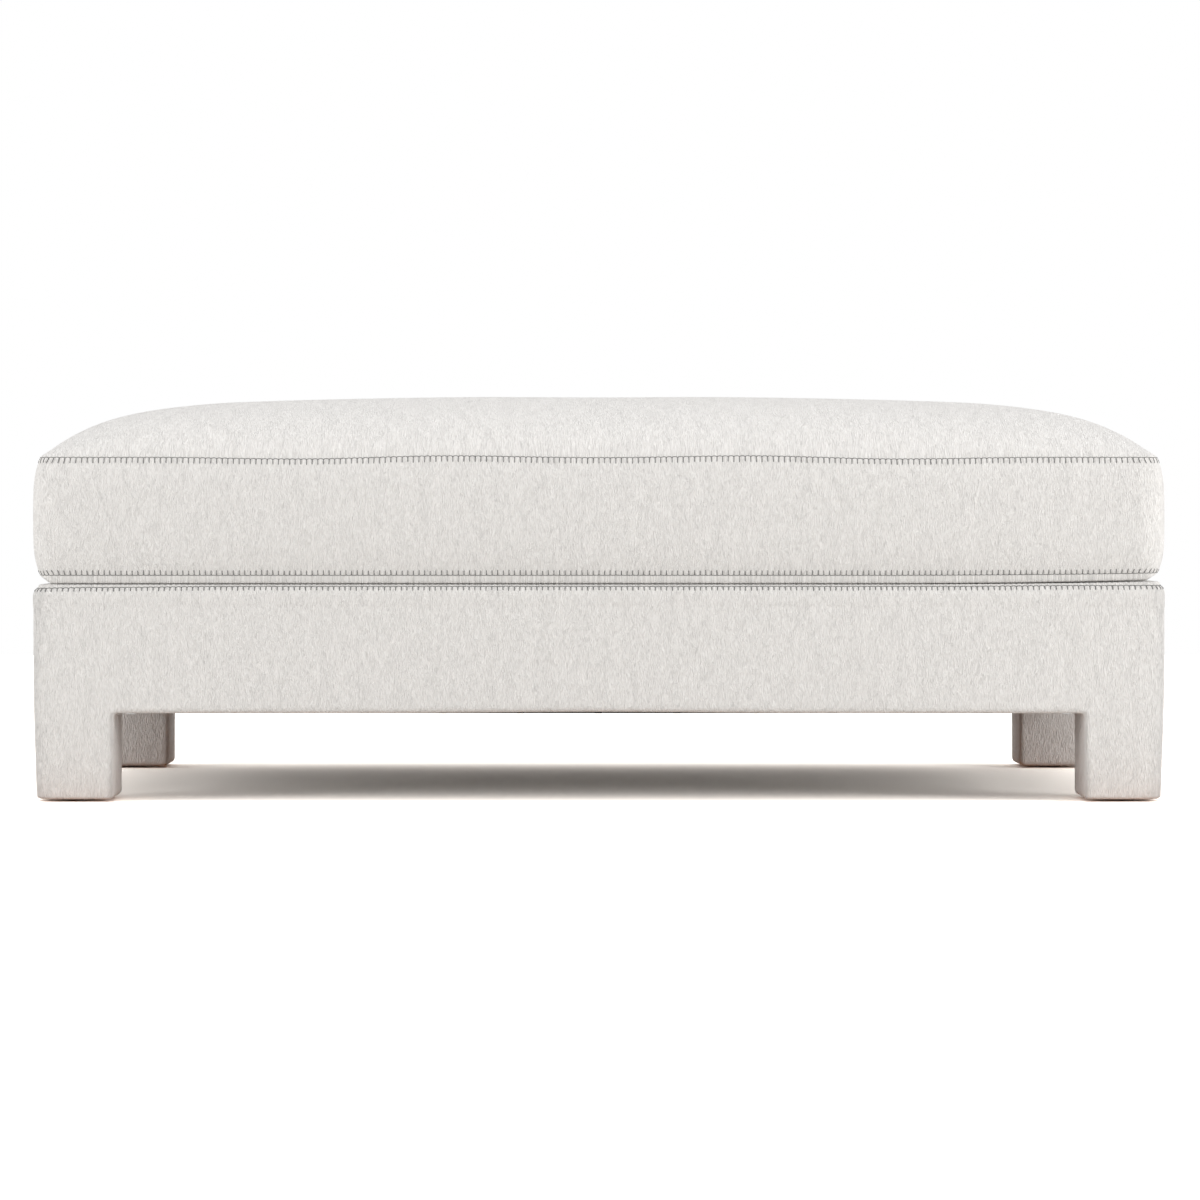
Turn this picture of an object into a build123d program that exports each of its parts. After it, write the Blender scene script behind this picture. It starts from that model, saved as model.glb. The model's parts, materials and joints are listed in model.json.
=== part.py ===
from build123d import *
from math import cos, exp, pi
import os

# A coffee-table ottoman: a padded box base on four covered legs, with a loose crowned cushion
# that lies on its deck. Lengths are millimetres. X runs along the length, the front faces -Y,
# Z is up and the origin is on the floor under the middle.

# The base as it is seen
length = 1370.0
depth = 760.0
base_height = 262.0
opening_height = 107.0
leg_width = 99.0
leg_depth = 99.0
base_corner = 18.0
deck_edge = 12.0
panel_edge = 6.0
opening_corner = 5.0
foot_edge = 3.0
glide_height = 3.0

# The cushion as it is seen: its seams lie a little inside the base all round
end_setback = 7.5
face_setback = 7.0
bottom_seam_rise = 11.0
boxing_height = 143.0
seam_length = length - 2 * end_setback
seam_depth = depth - 2 * face_setback
bottom_seam_height = base_height + bottom_seam_rise
top_seam_height = bottom_seam_height + boxing_height
seam_corner = 25.0
crown_rise = 84.0
crown_shoulder = 45.0
crown_shoulder_share = 0.8
crown_columns = 33
crown_rows = 25
side_bulge = 9.0
bottom_edge = 9.5

# Cloth, padding and the clearance between neighbours
cloth = 1.5
padding = 10.0
gap = 0.3
overrun = 5.0
cover_return = 45.0
thread = 1.2
deck_seam_drop = 2.0

# Deck and springs
deck_pad = 15.0
insulator = 2.0
spring_wire = 3.8
spring_width = 50.0
spring_pitch = 24.0
spring_count = 7
stay_wire = 2.2
stay_wire_shares = (-1 / 6, 1 / 6)
clip_sheet = 1.2
clip_width = 20.0
clip_reach = 12.0
clip_slack = 0.2
nail = 2.2
nail_head = 4.5
nail_head_height = 0.8
nail_length = 22.0
nail_shares = (-0.3, 0.3)

# Timber
rail_thickness = 25.0
cross_rail_height = 70.0
cross_rail_shares = (-1 / 6, 1 / 6)
block_side = 40.0
block_shortening = 12.0
dowel = 10.0
dowel_length = 60.0
dowel_shares = (0.25, 0.75)
screw = 4.0
screw_head = 8.0
screw_head_height = 2.4
screw_length = 55.0
block_screw_shares = (0.38, 0.62)
cross_screw_shares = (0.3, 0.7)

# Underside
glide_width = 28.0
glide_rim = 1.0
glide_screw_length = 25.0
dust_cloth = 0.8
dust_inset = 25.0
staple_crown = 10.0
staple_wire = 0.6
staple_leg = 6.0
staple_pitch = 90.0
staple_margin = 8.0

# Cushion filling
wrap_side = 12.0
wrap_top = 24.0
wrap_bottom = 10.0

# Zip in the rear boxing
zip_end_setback = 100.0
zip_length = seam_length - 2 * zip_end_setback
zip_slot = 9.0
zip_tape = 0.6
zip_tape_width = 12.0
coil_width = 1.6
coil_height = 2.0
coil_split = 1.6
stop_length = 4.0
slider_length = 13.0
slider_width = 7.4
slider_plate = 0.8
slider_bridge = 5.0
slider_clearance = 0.3
arch_length = 6.0
arch_width = 1.6
arch_bar = 0.8
pull_width = 5.0
pull_length = 26.0
pull_sheet = 1.0
pull_bar = 1.2

corners = {"front_left": (-1, -1), "front_right": (1, -1),
           "rear_left": (-1, 1), "rear_right": (1, 1)}

# Places that follow from the sizes
leg_x = length / 2 - leg_width
leg_y = depth / 2 - leg_depth
frame_inset = cloth + gap + padding + gap
pad_inset = cloth + gap
post_x = (leg_x + frame_inset, length / 2 - frame_inset)
post_y = (leg_y + frame_inset, depth / 2 - frame_inset)
post_bottom = glide_height + cloth + gap
rail_bottom = opening_height + cloth + gap
deck_pad_bottom = base_height - pad_inset - deck_pad
insulator_bottom = deck_pad_bottom - gap - insulator
spring_z = insulator_bottom - gap - spring_wire / 2
rail_top = spring_z - spring_wire / 2 - clip_slack - clip_sheet
rail_mid_x = post_x[1] - rail_thickness / 2
rail_mid_y = post_y[1] - rail_thickness / 2
rail_inner_x = post_x[1] - rail_thickness
rail_inner_y = post_y[1] - rail_thickness
stay_z = spring_z - spring_wire / 2 - gap - stay_wire / 2
deck_seam_inset = deck_edge - (deck_edge**2 - (deck_edge - deck_seam_drop) ** 2) ** 0.5
cushion_bottom = base_height + gap
boxing_foot = bottom_seam_height + gap
boxing_top = top_seam_height - cloth - gap
zip_z = (boxing_foot + boxing_top) / 2
zip_y = seam_depth / 2 + side_bulge - coil_height / 2
coil_inner = coil_split / 2
coil_outer = coil_inner + coil_width
tape_reach = coil_outer + zip_tape_width
tape_sag = side_bulge * (2 * tape_reach / (boxing_top - boxing_foot)) ** 2
tape_front = min(seam_depth / 2 + side_bulge - cloth - gap - tape_sag,
                 zip_y - coil_height / 2)
slider_front = zip_y + coil_height / 2 + slider_clearance + slider_plate
slider_back = tape_front - zip_tape - slider_clearance - slider_plate
slider_x = -zip_length / 2 + stop_length + 2 * slider_clearance + slider_length / 2
pull_spin = (pull_sheet**2 + pull_bar**2) ** 0.5 / 2
pull_y = slider_front + slider_clearance + pull_spin
arch_top = pull_y + pull_spin + slider_clearance + arch_bar


def save(shape, node):
    """Write one sub-part."""
    export_step(shape, f"parts/{node}.step")


def block(x, y, z):
    """A box between two bounds along each axis."""
    middle = [(low + high) / 2 for low, high in (x, y, z)]
    return Pos(*middle) * Box(x[1] - x[0], y[1] - y[0], z[1] - z[0])


def sided(sign, bounds):
    """The same two bounds on the side of the middle that the sign gives."""
    return bounds if sign > 0 else (-bounds[1], -bounds[0])


def rod(start, end, radius):
    """A round bar between two points."""
    start, end = Vector(*start), Vector(*end)
    return extrude(Plane(start, z_dir=end - start) * Circle(radius), (end - start).length)


def group(solids):
    """Separate solids in one sub-part."""
    return Compound(children=list(solids))


def rounded_plan(size_x, size_y, corner, z):
    """A rounded rectangle about the middle, at a height."""
    return Pos(0, 0, z) * RectangleRounded(size_x, size_y, corner)


def slab(inset, bottom, top):
    """The base's outer block, inset all round, with its rounded deck edge."""
    plan = rounded_plan(length - 2 * inset, depth - 2 * inset, base_corner - inset, bottom)
    solid = extrude(plan, top - bottom)
    solid = fillet(solid.faces().sort_by(Axis.Z)[-1].edges(), deck_edge - inset)
    return fillet(solid.faces().sort_by(Axis.Z)[0].edges(), panel_edge - inset)


def leg_plan(sign_x, sign_y, inset, soft):
    """One leg's section: its outer and inner corner are rounded, or all four if it's soft."""
    x = sided(sign_x, (leg_x + inset, length / 2 - inset))
    y = sided(sign_y, (leg_y + inset, depth / 2 - inset))
    section = Pos(sum(x) / 2, sum(y) / 2) * Rectangle(x[1] - x[0], y[1] - y[0])
    by_distance = section.vertices().sort_by(lambda vertex: abs(vertex.X) + abs(vertex.Y))
    rounded = by_distance[:-1] if soft else by_distance[:1]
    section = fillet(rounded, panel_edge - inset)
    return fillet(section.vertices().sort_by_distance((0, 0))[-1], base_corner - inset)


def form(inset):
    """The base's outer form with its four legs, inset all over."""
    under = opening_height + inset
    foot = glide_height + inset
    plan = rounded_plan(length - 2 * inset, depth - 2 * inset, base_corner - inset, under)
    body = extrude(plan, base_height - inset - under)
    for sign_x, sign_y in corners.values():
        leg = leg_plan(sign_x, sign_y, inset, False)
        body += Pos(0, 0, foot) * extrude(leg, under - foot)

    flat = ShapeList(edge for edge in body.edges()
                     if edge.bounding_box().min.Z > under - gap
                     and edge.bounding_box().max.Z < under + gap)
    x, y = leg_x + inset, leg_y + inset
    concave = [edge for edge in flat
               if (abs(abs(edge.center().X) - x) < gap and abs(edge.center().Y) > y)
               or (abs(abs(edge.center().Y) - y) < gap and abs(edge.center().X) > x)]
    body = fillet(concave, opening_corner + inset)

    def on_outline(edge):
        box, middle = edge.bounding_box(), edge.center()
        in_height = box.min.Z > foot - gap and box.max.Z < under + gap
        front = min(abs(box.min.Y), abs(box.max.Y)) > depth / 2 - inset - gap
        side = min(abs(box.min.X), abs(box.max.X)) > length / 2 - inset - gap
        at_opening = (front and abs(middle.X) < x + gap) or (side and abs(middle.Y) < y + gap)
        return in_height and box.max.Z > foot + gap and at_opening

    body = fillet(body.edges().filter_by(on_outline), panel_edge - inset)
    deck = body.faces().sort_by(Axis.Z)[-1]
    body = fillet(deck.edges(), deck_edge - inset)
    feet = [face for face in body.faces() if abs(face.center().Z - foot) < gap / 2]
    return fillet([edge for face in feet for edge in face.edges()], foot_edge - inset)


def screw_solid(start, direction, shank, through):
    """A countersunk screw whose head lies flush with its starting point."""
    plane = Plane(Vector(*start), z_dir=Vector(*direction))
    head = plane * Pos(0, 0, screw_head_height / 2) * Cone(
        screw_head / 2, shank / 2, screw_head_height)
    return head + extrude(plane * Circle(shank / 2), through)


def screw_hole(start, direction, shank, through):
    """The clearance for a screw, in the pieces that it passes through."""
    plane = Plane(Vector(*start), z_dir=Vector(*direction))
    sink = plane * Pos(0, 0, (screw_head_height + gap) / 2) * Cone(
        screw_head / 2 + gap, shank / 2, screw_head_height + gap)
    bore = plane * Pos(0, 0, -gap)
    return sink + extrude(bore * Circle(shank / 2 + gap / 2), through + 2 * gap)


def timber_frame():
    """Rails, posts, cross rails and corner blocks with their dowels and screws."""
    rail_height = rail_top - rail_bottom
    heights = (rail_bottom, rail_top)
    pieces = {}
    for name, sign in (("front", -1), ("rear", 1)):
        pieces[f"rail_{name}"] = block((-post_x[0], post_x[0]),
                                       sided(sign, (rail_inner_y, post_y[1])), heights)
    for name, sign in (("left", -1), ("right", 1)):
        pieces[f"rail_{name}"] = block(sided(sign, (rail_inner_x, post_x[1])),
                                       (-post_y[0], post_y[0]), heights)
    for name, share in zip(("left", "right"), cross_rail_shares):
        x = share * length
        pieces[f"cross_rail_{name}"] = block(
            (x - rail_thickness / 2, x + rail_thickness / 2),
            (-rail_inner_y, rail_inner_y), (rail_bottom, rail_bottom + cross_rail_height))
    for name, (sign_x, sign_y) in corners.items():
        pieces[f"leg_post_{name}"] = block(sided(sign_x, post_x), sided(sign_y, post_y),
                                           (post_bottom, rail_top))

    dowels, dowel_holes = [], []
    half = dowel_length / 2
    for sign_x, sign_y in corners.values():
        for share in dowel_shares:
            z = rail_bottom + share * rail_height
            for joint, along in (((sign_x * post_x[0], sign_y * rail_mid_y), (1, 0)),
                                 ((sign_x * rail_mid_x, sign_y * post_y[0]), (0, 1))):
                ends = [(joint[0] + way * along[0], joint[1] + way * along[1], z)
                        for way in (-half, half)]
                dowels.append(rod(*ends, dowel / 2))
                ends = [(joint[0] + way * along[0], joint[1] + way * along[1], z)
                        for way in (-half - gap, half + gap)]
                dowel_holes.append(rod(*ends, dowel / 2 + gap / 3))

    blocks, screws = [], []
    block_heights = (rail_bottom + block_shortening, rail_top - block_shortening)
    for sign_x, sign_y in corners.values():
        blocks.append(block(sided(sign_x, (post_x[0] - block_side, post_x[0])),
                            sided(sign_y, (rail_inner_y - block_side, rail_inner_y)),
                            block_heights))
        blocks.append(block(sided(sign_x, (rail_inner_x - block_side, rail_inner_x)),
                            sided(sign_y, (post_y[0] - block_side, post_y[0])),
                            block_heights))
        for share in block_screw_shares:
            z = block_heights[0] + share * (block_heights[1] - block_heights[0])
            screws.append(((sign_x * (post_x[0] - block_side / 2),
                            sign_y * (rail_inner_y - block_side), z), (0, sign_y, 0)))
            screws.append(((sign_x * (rail_inner_x - block_side),
                            sign_y * (post_y[0] - block_side / 2), z), (sign_x, 0, 0)))
    for share_x in cross_rail_shares:
        for share_z in cross_screw_shares:
            z = rail_bottom + share_z * cross_rail_height
            for sign_y in (-1, 1):
                screws.append(((share_x * length, sign_y * post_y[1], z), (0, -sign_y, 0)))

    holes = [screw_hole(*place, screw, screw_length) for place in screws]
    foot_holes = [rod((sign_x * sum(post_x) / 2, sign_y * sum(post_y) / 2, post_bottom - gap),
                      (sign_x * sum(post_x) / 2, sign_y * sum(post_y) / 2,
                       glide_screw_length + gap), screw / 2 + gap / 2)
                  for sign_x, sign_y in corners.values()]
    kerfs = [rod((-length / 2, share * depth, stay_z), (length / 2, share * depth, stay_z),
                 stay_wire / 2 + gap / 2) for share in stay_wire_shares]
    nail_holes = [rod(top, (top[0], top[1], top[2] - nail_length - gap), nail / 2 + gap / 3)
                  for top in nail_places()]
    for node in pieces:
        pieces[node] -= dowel_holes + holes + foot_holes
    slots = [staple(*place, gap / 2) for place in staple_places()]
    for node in ("rail_left", "rail_right"):
        pieces[node] -= kerfs + slots
    for node in ("rail_front", "rail_rear"):
        pieces[node] -= nail_holes + slots

    for node, piece in pieces.items():
        save(piece, node)
    save(group(piece - holes for piece in blocks), "corner_blocks")
    save(group(dowels), "rail_dowels")
    save(group(screw_solid(*place, screw, screw_length) for place in screws), "frame_screws")


def spring_places():
    """The springs' places along the length."""
    step = 2 * post_x[0] / spring_count
    return [(index - (spring_count - 1) / 2) * step for index in range(spring_count)]


def nail_places():
    """The tops of the clips' nail shanks."""
    y = rail_mid_y - clip_reach / 2
    return [(x + share * clip_width, sign * y, rail_top + clip_sheet)
            for x in spring_places() for share in nail_shares for sign in (-1, 1)]


def springs():
    """Zigzag springs, the clips and nails that hold their ends, and two stay wires."""
    loops = round(2 * rail_mid_y / spring_pitch)
    bend = rail_mid_y / loops
    run = spring_width / 2 - spring_wire / 2 - bend
    path = []
    for turn in range(loops + 1):
        side = 1 if turn % 2 == 0 else -1
        y = -rail_mid_y + turn * 2 * bend
        path.append(Line((-side * run, y), (side * run, y)))
        if turn < loops:
            path.append(ThreePointArc((side * run, y), (side * (run + bend), y + bend),
                                      (side * run, y + 2 * bend)))
    wire = Wire(path)
    section = Plane(wire @ 0, z_dir=wire % 0) * Circle(spring_wire / 2)
    spring = sweep(section, wire)
    for index, x in enumerate(spring_places()):
        save(Pos(x, 0, spring_z) * spring, f"spring_{index + 1}")

    bore = spring_wire / 2 + clip_slack
    clips = []
    for sign in (-1, 1):
        eye = Circle(bore + clip_sheet)
        plate = Pos(-sign * clip_reach / 2, -bore - clip_sheet / 2) * Rectangle(
            clip_reach, clip_sheet)
        profile = eye + plate - Circle(bore)
        for x in spring_places():
            place = Plane((x - clip_width / 2, sign * rail_mid_y, spring_z),
                          x_dir=(0, 1, 0), z_dir=(1, 0, 0))
            clips.append(extrude(place * profile, clip_width))
    drills = [rod((x, y, z - 2 * clip_sheet), (x, y, z + 2 * clip_sheet), nail / 2 + gap / 3)
              for x, y, z in nail_places()]
    save(group(clip - drills for clip in clips), "spring_clips")
    nails = []
    for x, y, z in nail_places():
        shank = rod((x, y, z + nail_head_height / 2), (x, y, z - nail_length), nail / 2)
        nails.append(shank + rod((x, y, z), (x, y, z + nail_head_height), nail_head / 2))
    save(group(nails), "clip_nails")
    save(group(rod((-post_x[1] + gap, share * depth, stay_z),
                   (post_x[1] - gap, share * depth, stay_z), stay_wire / 2)
               for share in stay_wire_shares), "stay_wires")


def deck():
    """The felt over the springs and the pad under the deck cloth."""
    felt_y = rail_mid_y - clip_reach - gap
    save(block((-post_x[0], post_x[0]), (-felt_y, felt_y),
               (insulator_bottom, insulator_bottom + insulator)), "insulator")
    pad = extrude(rounded_plan(length - 2 * frame_inset, depth - 2 * frame_inset,
                               base_corner - frame_inset, deck_pad_bottom), deck_pad)
    save(pad, "deck_pad")


def pads():
    """Padding glued round the rails and the legs."""
    core = extrude(rounded_plan(length - 2 * frame_inset + 2 * gap,
                                depth - 2 * frame_inset + 2 * gap,
                                base_corner - frame_inset + gap, rail_bottom - overrun),
                   base_height)
    ring = slab(pad_inset, rail_bottom, base_height - pad_inset) - core
    half_x, half_y = length / 2 + overrun, depth / 2 + overrun
    heights = (0, base_height + overrun)
    corner_y = post_y[1] + gap
    for name, sign in (("front", -1), ("rear", 1)):
        zone = block((-half_x, half_x), sided(sign, (corner_y, half_y)), heights)
        save(ring & zone, f"rail_pad_{name}")
    for name, sign in (("left", -1), ("right", 1)):
        zone = block(sided(sign, (post_x[1], half_x)), (-corner_y + gap, corner_y - gap),
                     heights)
        save(ring & zone, f"rail_pad_{name}")
    for name, (sign_x, sign_y) in corners.items():
        inner = block(sided(sign_x, (post_x[0] - gap, post_x[1] + gap)),
                      sided(sign_y, (post_y[0] - gap, post_y[1] + gap)),
                      (0, rail_bottom + overrun))
        sleeve = Pos(0, 0, post_bottom) * extrude(leg_plan(sign_x, sign_y, pad_inset, True),
                                                  rail_bottom - gap - post_bottom)
        sleeve = fillet(sleeve.faces().sort_by(Axis.Z)[0].edges(), foot_edge - pad_inset)
        save(sleeve - inner, f"leg_pad_{name}")


def staple_places():
    """Where staples hold the dust cloth, and whether each lies along X."""
    edge_x, edge_y = length / 2 - dust_inset, depth / 2 - dust_inset
    places = []
    for half_run, edge, along_x in ((leg_x, edge_y, True), (leg_y, edge_x, False)):
        count = round(2 * half_run / staple_pitch)
        step = 2 * (half_run - staple_margin - staple_crown) / (count - 1)
        for index in range(count):
            run = (index - (count - 1) / 2) * step
            for sign in (-1, 1):
                across = sign * (edge - staple_margin)
                places.append(((run, across) if along_x else (across, run), along_x))
    return places


def staple(place, along_x, slack):
    """A staple driven up from below, or the slots that it needs."""
    half = staple_crown / 2
    wire = staple_wire + 2 * slack
    level = opening_height - gap - dust_cloth
    crown = Pos(0, 0, level - staple_wire / 2) * Box(staple_crown + 2 * slack, wire, wire)
    solid = crown
    for side in (-1, 1):
        leg = Pos(side * (half - staple_wire / 2), 0, level + (staple_leg - staple_wire) / 2)
        solid += leg * Box(wire, wire, staple_leg + staple_wire + 2 * slack)
    turn = Rot(0, 0, 0 if along_x else 90)
    return Pos(*place, 0) * turn * solid


def underside():
    """The dust cloth with its staples, and the glides with their screws."""
    edge_x, edge_y = length / 2 - dust_inset, depth / 2 - dust_inset
    inner_x, inner_y = leg_x - opening_corner - gap, leg_y - opening_corner - gap
    level = opening_height - gap - dust_cloth
    sheet = block((-edge_x, edge_x), (-inner_y, inner_y), (level, level + dust_cloth))
    sheet += block((-inner_x, inner_x), (-edge_y, edge_y), (level, level + dust_cloth))
    slots = [staple(*place, gap / 2) for place in staple_places()]
    save(sheet - slots, "dust_cover")
    save(group(staple(*place, 0) for place in staple_places()), "dust_cover_staples")

    screws = []
    for name, (sign_x, sign_y) in corners.items():
        x, y = sign_x * sum(post_x) / 2, sign_y * sum(post_y) / 2
        disc = rod((x, y, 0), (x, y, glide_height), glide_width / 2)
        disc = fillet(disc.faces().sort_by(Axis.Z)[0].edges(), glide_rim)
        disc -= screw_hole((x, y, gap), (0, 0, 1), screw, glide_screw_length)
        disc -= rod((x, y, -gap), (x, y, 2 * gap), screw_head / 2 + gap)
        save(disc, f"glide_{name}")
        screws.append(screw_solid((x, y, 2 * gap), (0, 0, 1), screw,
                                  glide_screw_length - 2 * gap))
    save(group(screws), "glide_screws")


def cover():
    """The cloth over the base: deck, front with sides, rear, and linings inside the legs."""
    skin = form(0) - form(cloth)
    tall = base_height + overrun
    half_x, half_y = length / 2 + overrun, depth / 2 + overrun
    floor_x, floor_y = length / 2 - cover_return, depth / 2 - cover_return
    skin -= block((-floor_x, floor_x), (-leg_y, leg_y), (0, rail_bottom))
    skin -= block((-leg_x + opening_corner, leg_x - opening_corner), (-floor_y, floor_y),
                  (0, rail_bottom))
    skin -= block((-leg_x, leg_x), (-leg_y, leg_y), (0, rail_bottom))
    for sign_x, sign_y in corners.values():
        x, y = sign_x * sum(post_x) / 2, sign_y * sum(post_y) / 2
        skin -= rod((x, y, 0), (x, y, post_bottom), screw / 2 + gap)
    skin -= [staple(*place, gap / 2) for place in staple_places()]

    inset = deck_seam_inset
    deck_zone = extrude(rounded_plan(length - 2 * inset, depth - 2 * inset,
                                     base_corner - inset, base_height - deck_edge), tall)
    save(skin & deck_zone, "deck_cloth")
    border = skin - deck_zone

    lining_top = opening_height - opening_corner
    for name, (sign_x, sign_y) in corners.items():
        zone = block(sided(sign_x, (0, length / 2 - panel_edge)),
                     sided(sign_y, (0, depth / 2 - panel_edge)), (0, lining_top))
        save(border & zone, f"leg_lining_{name}")
        border -= zone

    rear_zone = block((-half_x, half_x), (depth / 2 - inset, half_y), (0, tall))
    rear_zone += block((-leg_x, leg_x), (leg_y, half_y), (0, rail_bottom + overrun))
    save(border & rear_zone, "cover_rear")
    save(border - rear_zone, "cover_front_and_sides")


def ring(size_x, size_y, corner, profile):
    """Sweep a profile round a rounded rectangle: its X is outwards, its Y is height."""
    path = rounded_plan(size_x, size_y, corner, 0).face().outer_wire()
    tangent = path % 0
    outwards = tangent.cross(Vector(0, 0, 1))
    if outwards.dot(path @ 0) < 0:
        outwards = -outwards
    plane = Plane(path @ 0, x_dir=outwards, z_dir=outwards.cross(Vector(0, 0, 1)))
    return sweep(plane * profile, path)


def crown_share(distance, half):
    """How much of the crown's rise is reached at a distance inside the seam."""
    full = crown_shoulder_share * (1 - exp(-half / crown_shoulder)) + 1 - crown_shoulder_share
    if distance < 0:
        slope = crown_shoulder_share / crown_shoulder + 2 * (1 - crown_shoulder_share) / half
        return distance * slope / full
    shoulder = crown_shoulder_share * (1 - exp(-distance / crown_shoulder))
    dome = (1 - crown_shoulder_share) * (1 - (1 - min(distance / half, 1)) ** 2)
    return (shoulder + dome) / full


def crown(drop, thickness):
    """A crowned sheet of even height, a little wider than the seams all round."""
    half_x, half_y = seam_length / 2, seam_depth / 2
    xs = [-(half_x + overrun) * cos(pi * step / (crown_columns - 1))
          for step in range(crown_columns)]
    ys = [-(half_y + overrun) * cos(pi * step / (crown_rows - 1)) for step in range(crown_rows)]
    points = [[Vector(x, y, top_seam_height - drop + crown_rise
                      * crown_share(half_x - abs(x), half_x)
                      * crown_share(half_y - abs(y), half_y)) for y in ys] for x in xs]
    face = Face.make_surface_from_array_of_points(points, tol=gap / 6, min_deg=3, max_deg=3)
    return Solid.extrude(face, Vector(0, 0, -thickness))


def seam_prism(inset, bottom, top):
    """An upright block of the cushion's seam outline, inset all round."""
    return extrude(rounded_plan(seam_length - 2 * inset, seam_depth - 2 * inset,
                                seam_corner - inset, bottom), top - bottom)


def bulge_profile(inner, outer, foot, head):
    """The section of the boxing between two offsets, bowed outwards at mid height."""
    middle = (foot + head) / 2
    outside = ThreePointArc((outer, foot), (outer + side_bulge, middle), (outer, head))
    if inner is None:
        return make_face([outside, Line((outer, head), (outer, foot))])
    inside = ThreePointArc((inner, foot), (inner + side_bulge, middle), (inner, head))
    return make_face([outside, Line((outer, head), (inner, head)), inside,
                      Line((inner, foot), (outer, foot))])


def zip_zone(reach_x, reach_z, y):
    """A box round the zip's line in the rear boxing."""
    return block((-reach_x, reach_x), y, (zip_z - reach_z, zip_z + reach_z))


def cushion():
    """The loose cushion: cover panels, fibre wrap and foam core."""
    tall = top_seam_height + crown_rise + overrun
    panel = crown(0, cloth) & seam_prism(0, bottom_seam_height, tall)
    save(panel, "cushion_top_panel")

    boxing = ring(seam_length, seam_depth, seam_corner,
                  bulge_profile(-cloth, 0, boxing_foot, boxing_top))
    rear = (seam_depth / 2 - 2 * cloth, seam_depth / 2 + side_bulge + overrun)
    boxing -= zip_zone(zip_length / 2, zip_slot / 2, rear)
    save(boxing, "cushion_boxing")

    tray = seam_prism(0, cushion_bottom, bottom_seam_height)
    tray = fillet(tray.faces().sort_by(Axis.Z)[0].edges(), bottom_edge)
    hollow = seam_prism(cloth, cushion_bottom + cloth, bottom_seam_height + overrun)
    hollow = fillet(hollow.faces().sort_by(Axis.Z)[0].edges(), bottom_edge - cloth)
    save(tray - hollow, "cushion_bottom_panel")

    inset = cloth + gap
    floor = cushion_bottom + cloth + gap
    filling = seam_prism(inset, floor, tall)
    filling = fillet(filling.faces().sort_by(Axis.Z)[0].edges(), bottom_edge - inset)
    filling &= crown(cloth + gap, tall)
    filling += ring(seam_length, seam_depth, seam_corner,
                    bulge_profile(None, -inset, boxing_foot, boxing_top - gap))
    filling -= zip_zone(zip_length / 2 + gap, tape_reach + gap,
                        (slider_back - slider_clearance, rear[1]))
    inset += wrap_side
    core_floor = floor + wrap_bottom
    core = seam_prism(inset, core_floor, tall) & crown(cloth + gap + wrap_top, tall)
    save(filling - core, "cushion_wrap")
    room = seam_prism(inset + gap, core_floor + gap, tall)
    save(room & crown(cloth + 2 * gap + wrap_top, tall), "cushion_core")


def zipper():
    """The zip: tapes behind the slot, split coil, end stops, slider and hanging pull."""
    half = zip_length / 2
    coil_half = half - stop_length - gap
    across = (zip_y - coil_height / 2, zip_y + coil_height / 2)
    tapes, coils = [], []
    for sign in (-1, 1):
        tape_z = sided(sign, (coil_outer + gap, tape_reach))
        tapes.append(block((-half, half), (tape_front - zip_tape, tape_front),
                           (zip_z + tape_z[0], zip_z + tape_z[1])))
        coil_z = sided(sign, (coil_inner, coil_outer))
        coils.append(block((-coil_half, coil_half), across,
                           (zip_z + coil_z[0], zip_z + coil_z[1])))
    save(group(tapes), "zipper_tapes")
    save(group(coils), "zipper_chain")
    save(group(block(sided(sign, (half - stop_length, half)), across,
                     (zip_z - coil_outer, zip_z + coil_outer)) for sign in (-1, 1)),
         "zipper_stops")

    plate_x = (slider_x - slider_length / 2, slider_x + slider_length / 2)
    width = (zip_z - slider_width / 2, zip_z + slider_width / 2)
    front = block(plate_x, (slider_front - slider_plate, slider_front), width)
    back = block(plate_x, (slider_back, slider_back + slider_plate), width)
    plates = [fillet(plate.edges().filter_by(Axis.Y), slider_width / 3)
              for plate in (front, back)]
    neck = coil_inner - slider_clearance
    bridge = block((plate_x[0] + slider_width / 3, plate_x[0] + slider_width / 3 + slider_bridge),
                   (slider_back, slider_front), (zip_z - neck, zip_z + neck))
    arch_z = (zip_z - arch_width / 2, zip_z + arch_width / 2)
    half_arch = arch_length / 2
    arch = block((slider_x - half_arch, slider_x + half_arch), (slider_front, arch_top), arch_z)
    arch = fillet(arch.edges().filter_by(Axis.Z).sort_by(Axis.Y)[-2:], arch_bar)
    arch -= block((slider_x - half_arch + arch_bar, slider_x + half_arch - arch_bar),
                  (slider_front, arch_top - arch_bar), arch_z)
    save(plates[0] + plates[1] + bridge + arch, "zipper_slider")

    sheet = (pull_y - pull_sheet / 2, pull_y + pull_sheet / 2)
    window = (half_arch**2 + (arch_top - pull_y) ** 2) ** 0.5 + slider_clearance
    window_z = arch_width / 2 + slider_clearance
    tab = block((slider_x - pull_bar / 2, slider_x + pull_length), sheet,
                (zip_z - pull_width / 2, zip_z + pull_width / 2))
    tab = fillet(tab.edges().filter_by(Axis.Y).sort_by(Axis.X)[-2:], pull_width / 3)
    tab -= block((slider_x + pull_bar / 2, slider_x + window), sheet,
                 (zip_z - window_z, zip_z + window_z))
    save(tab, "zipper_pull")


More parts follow.
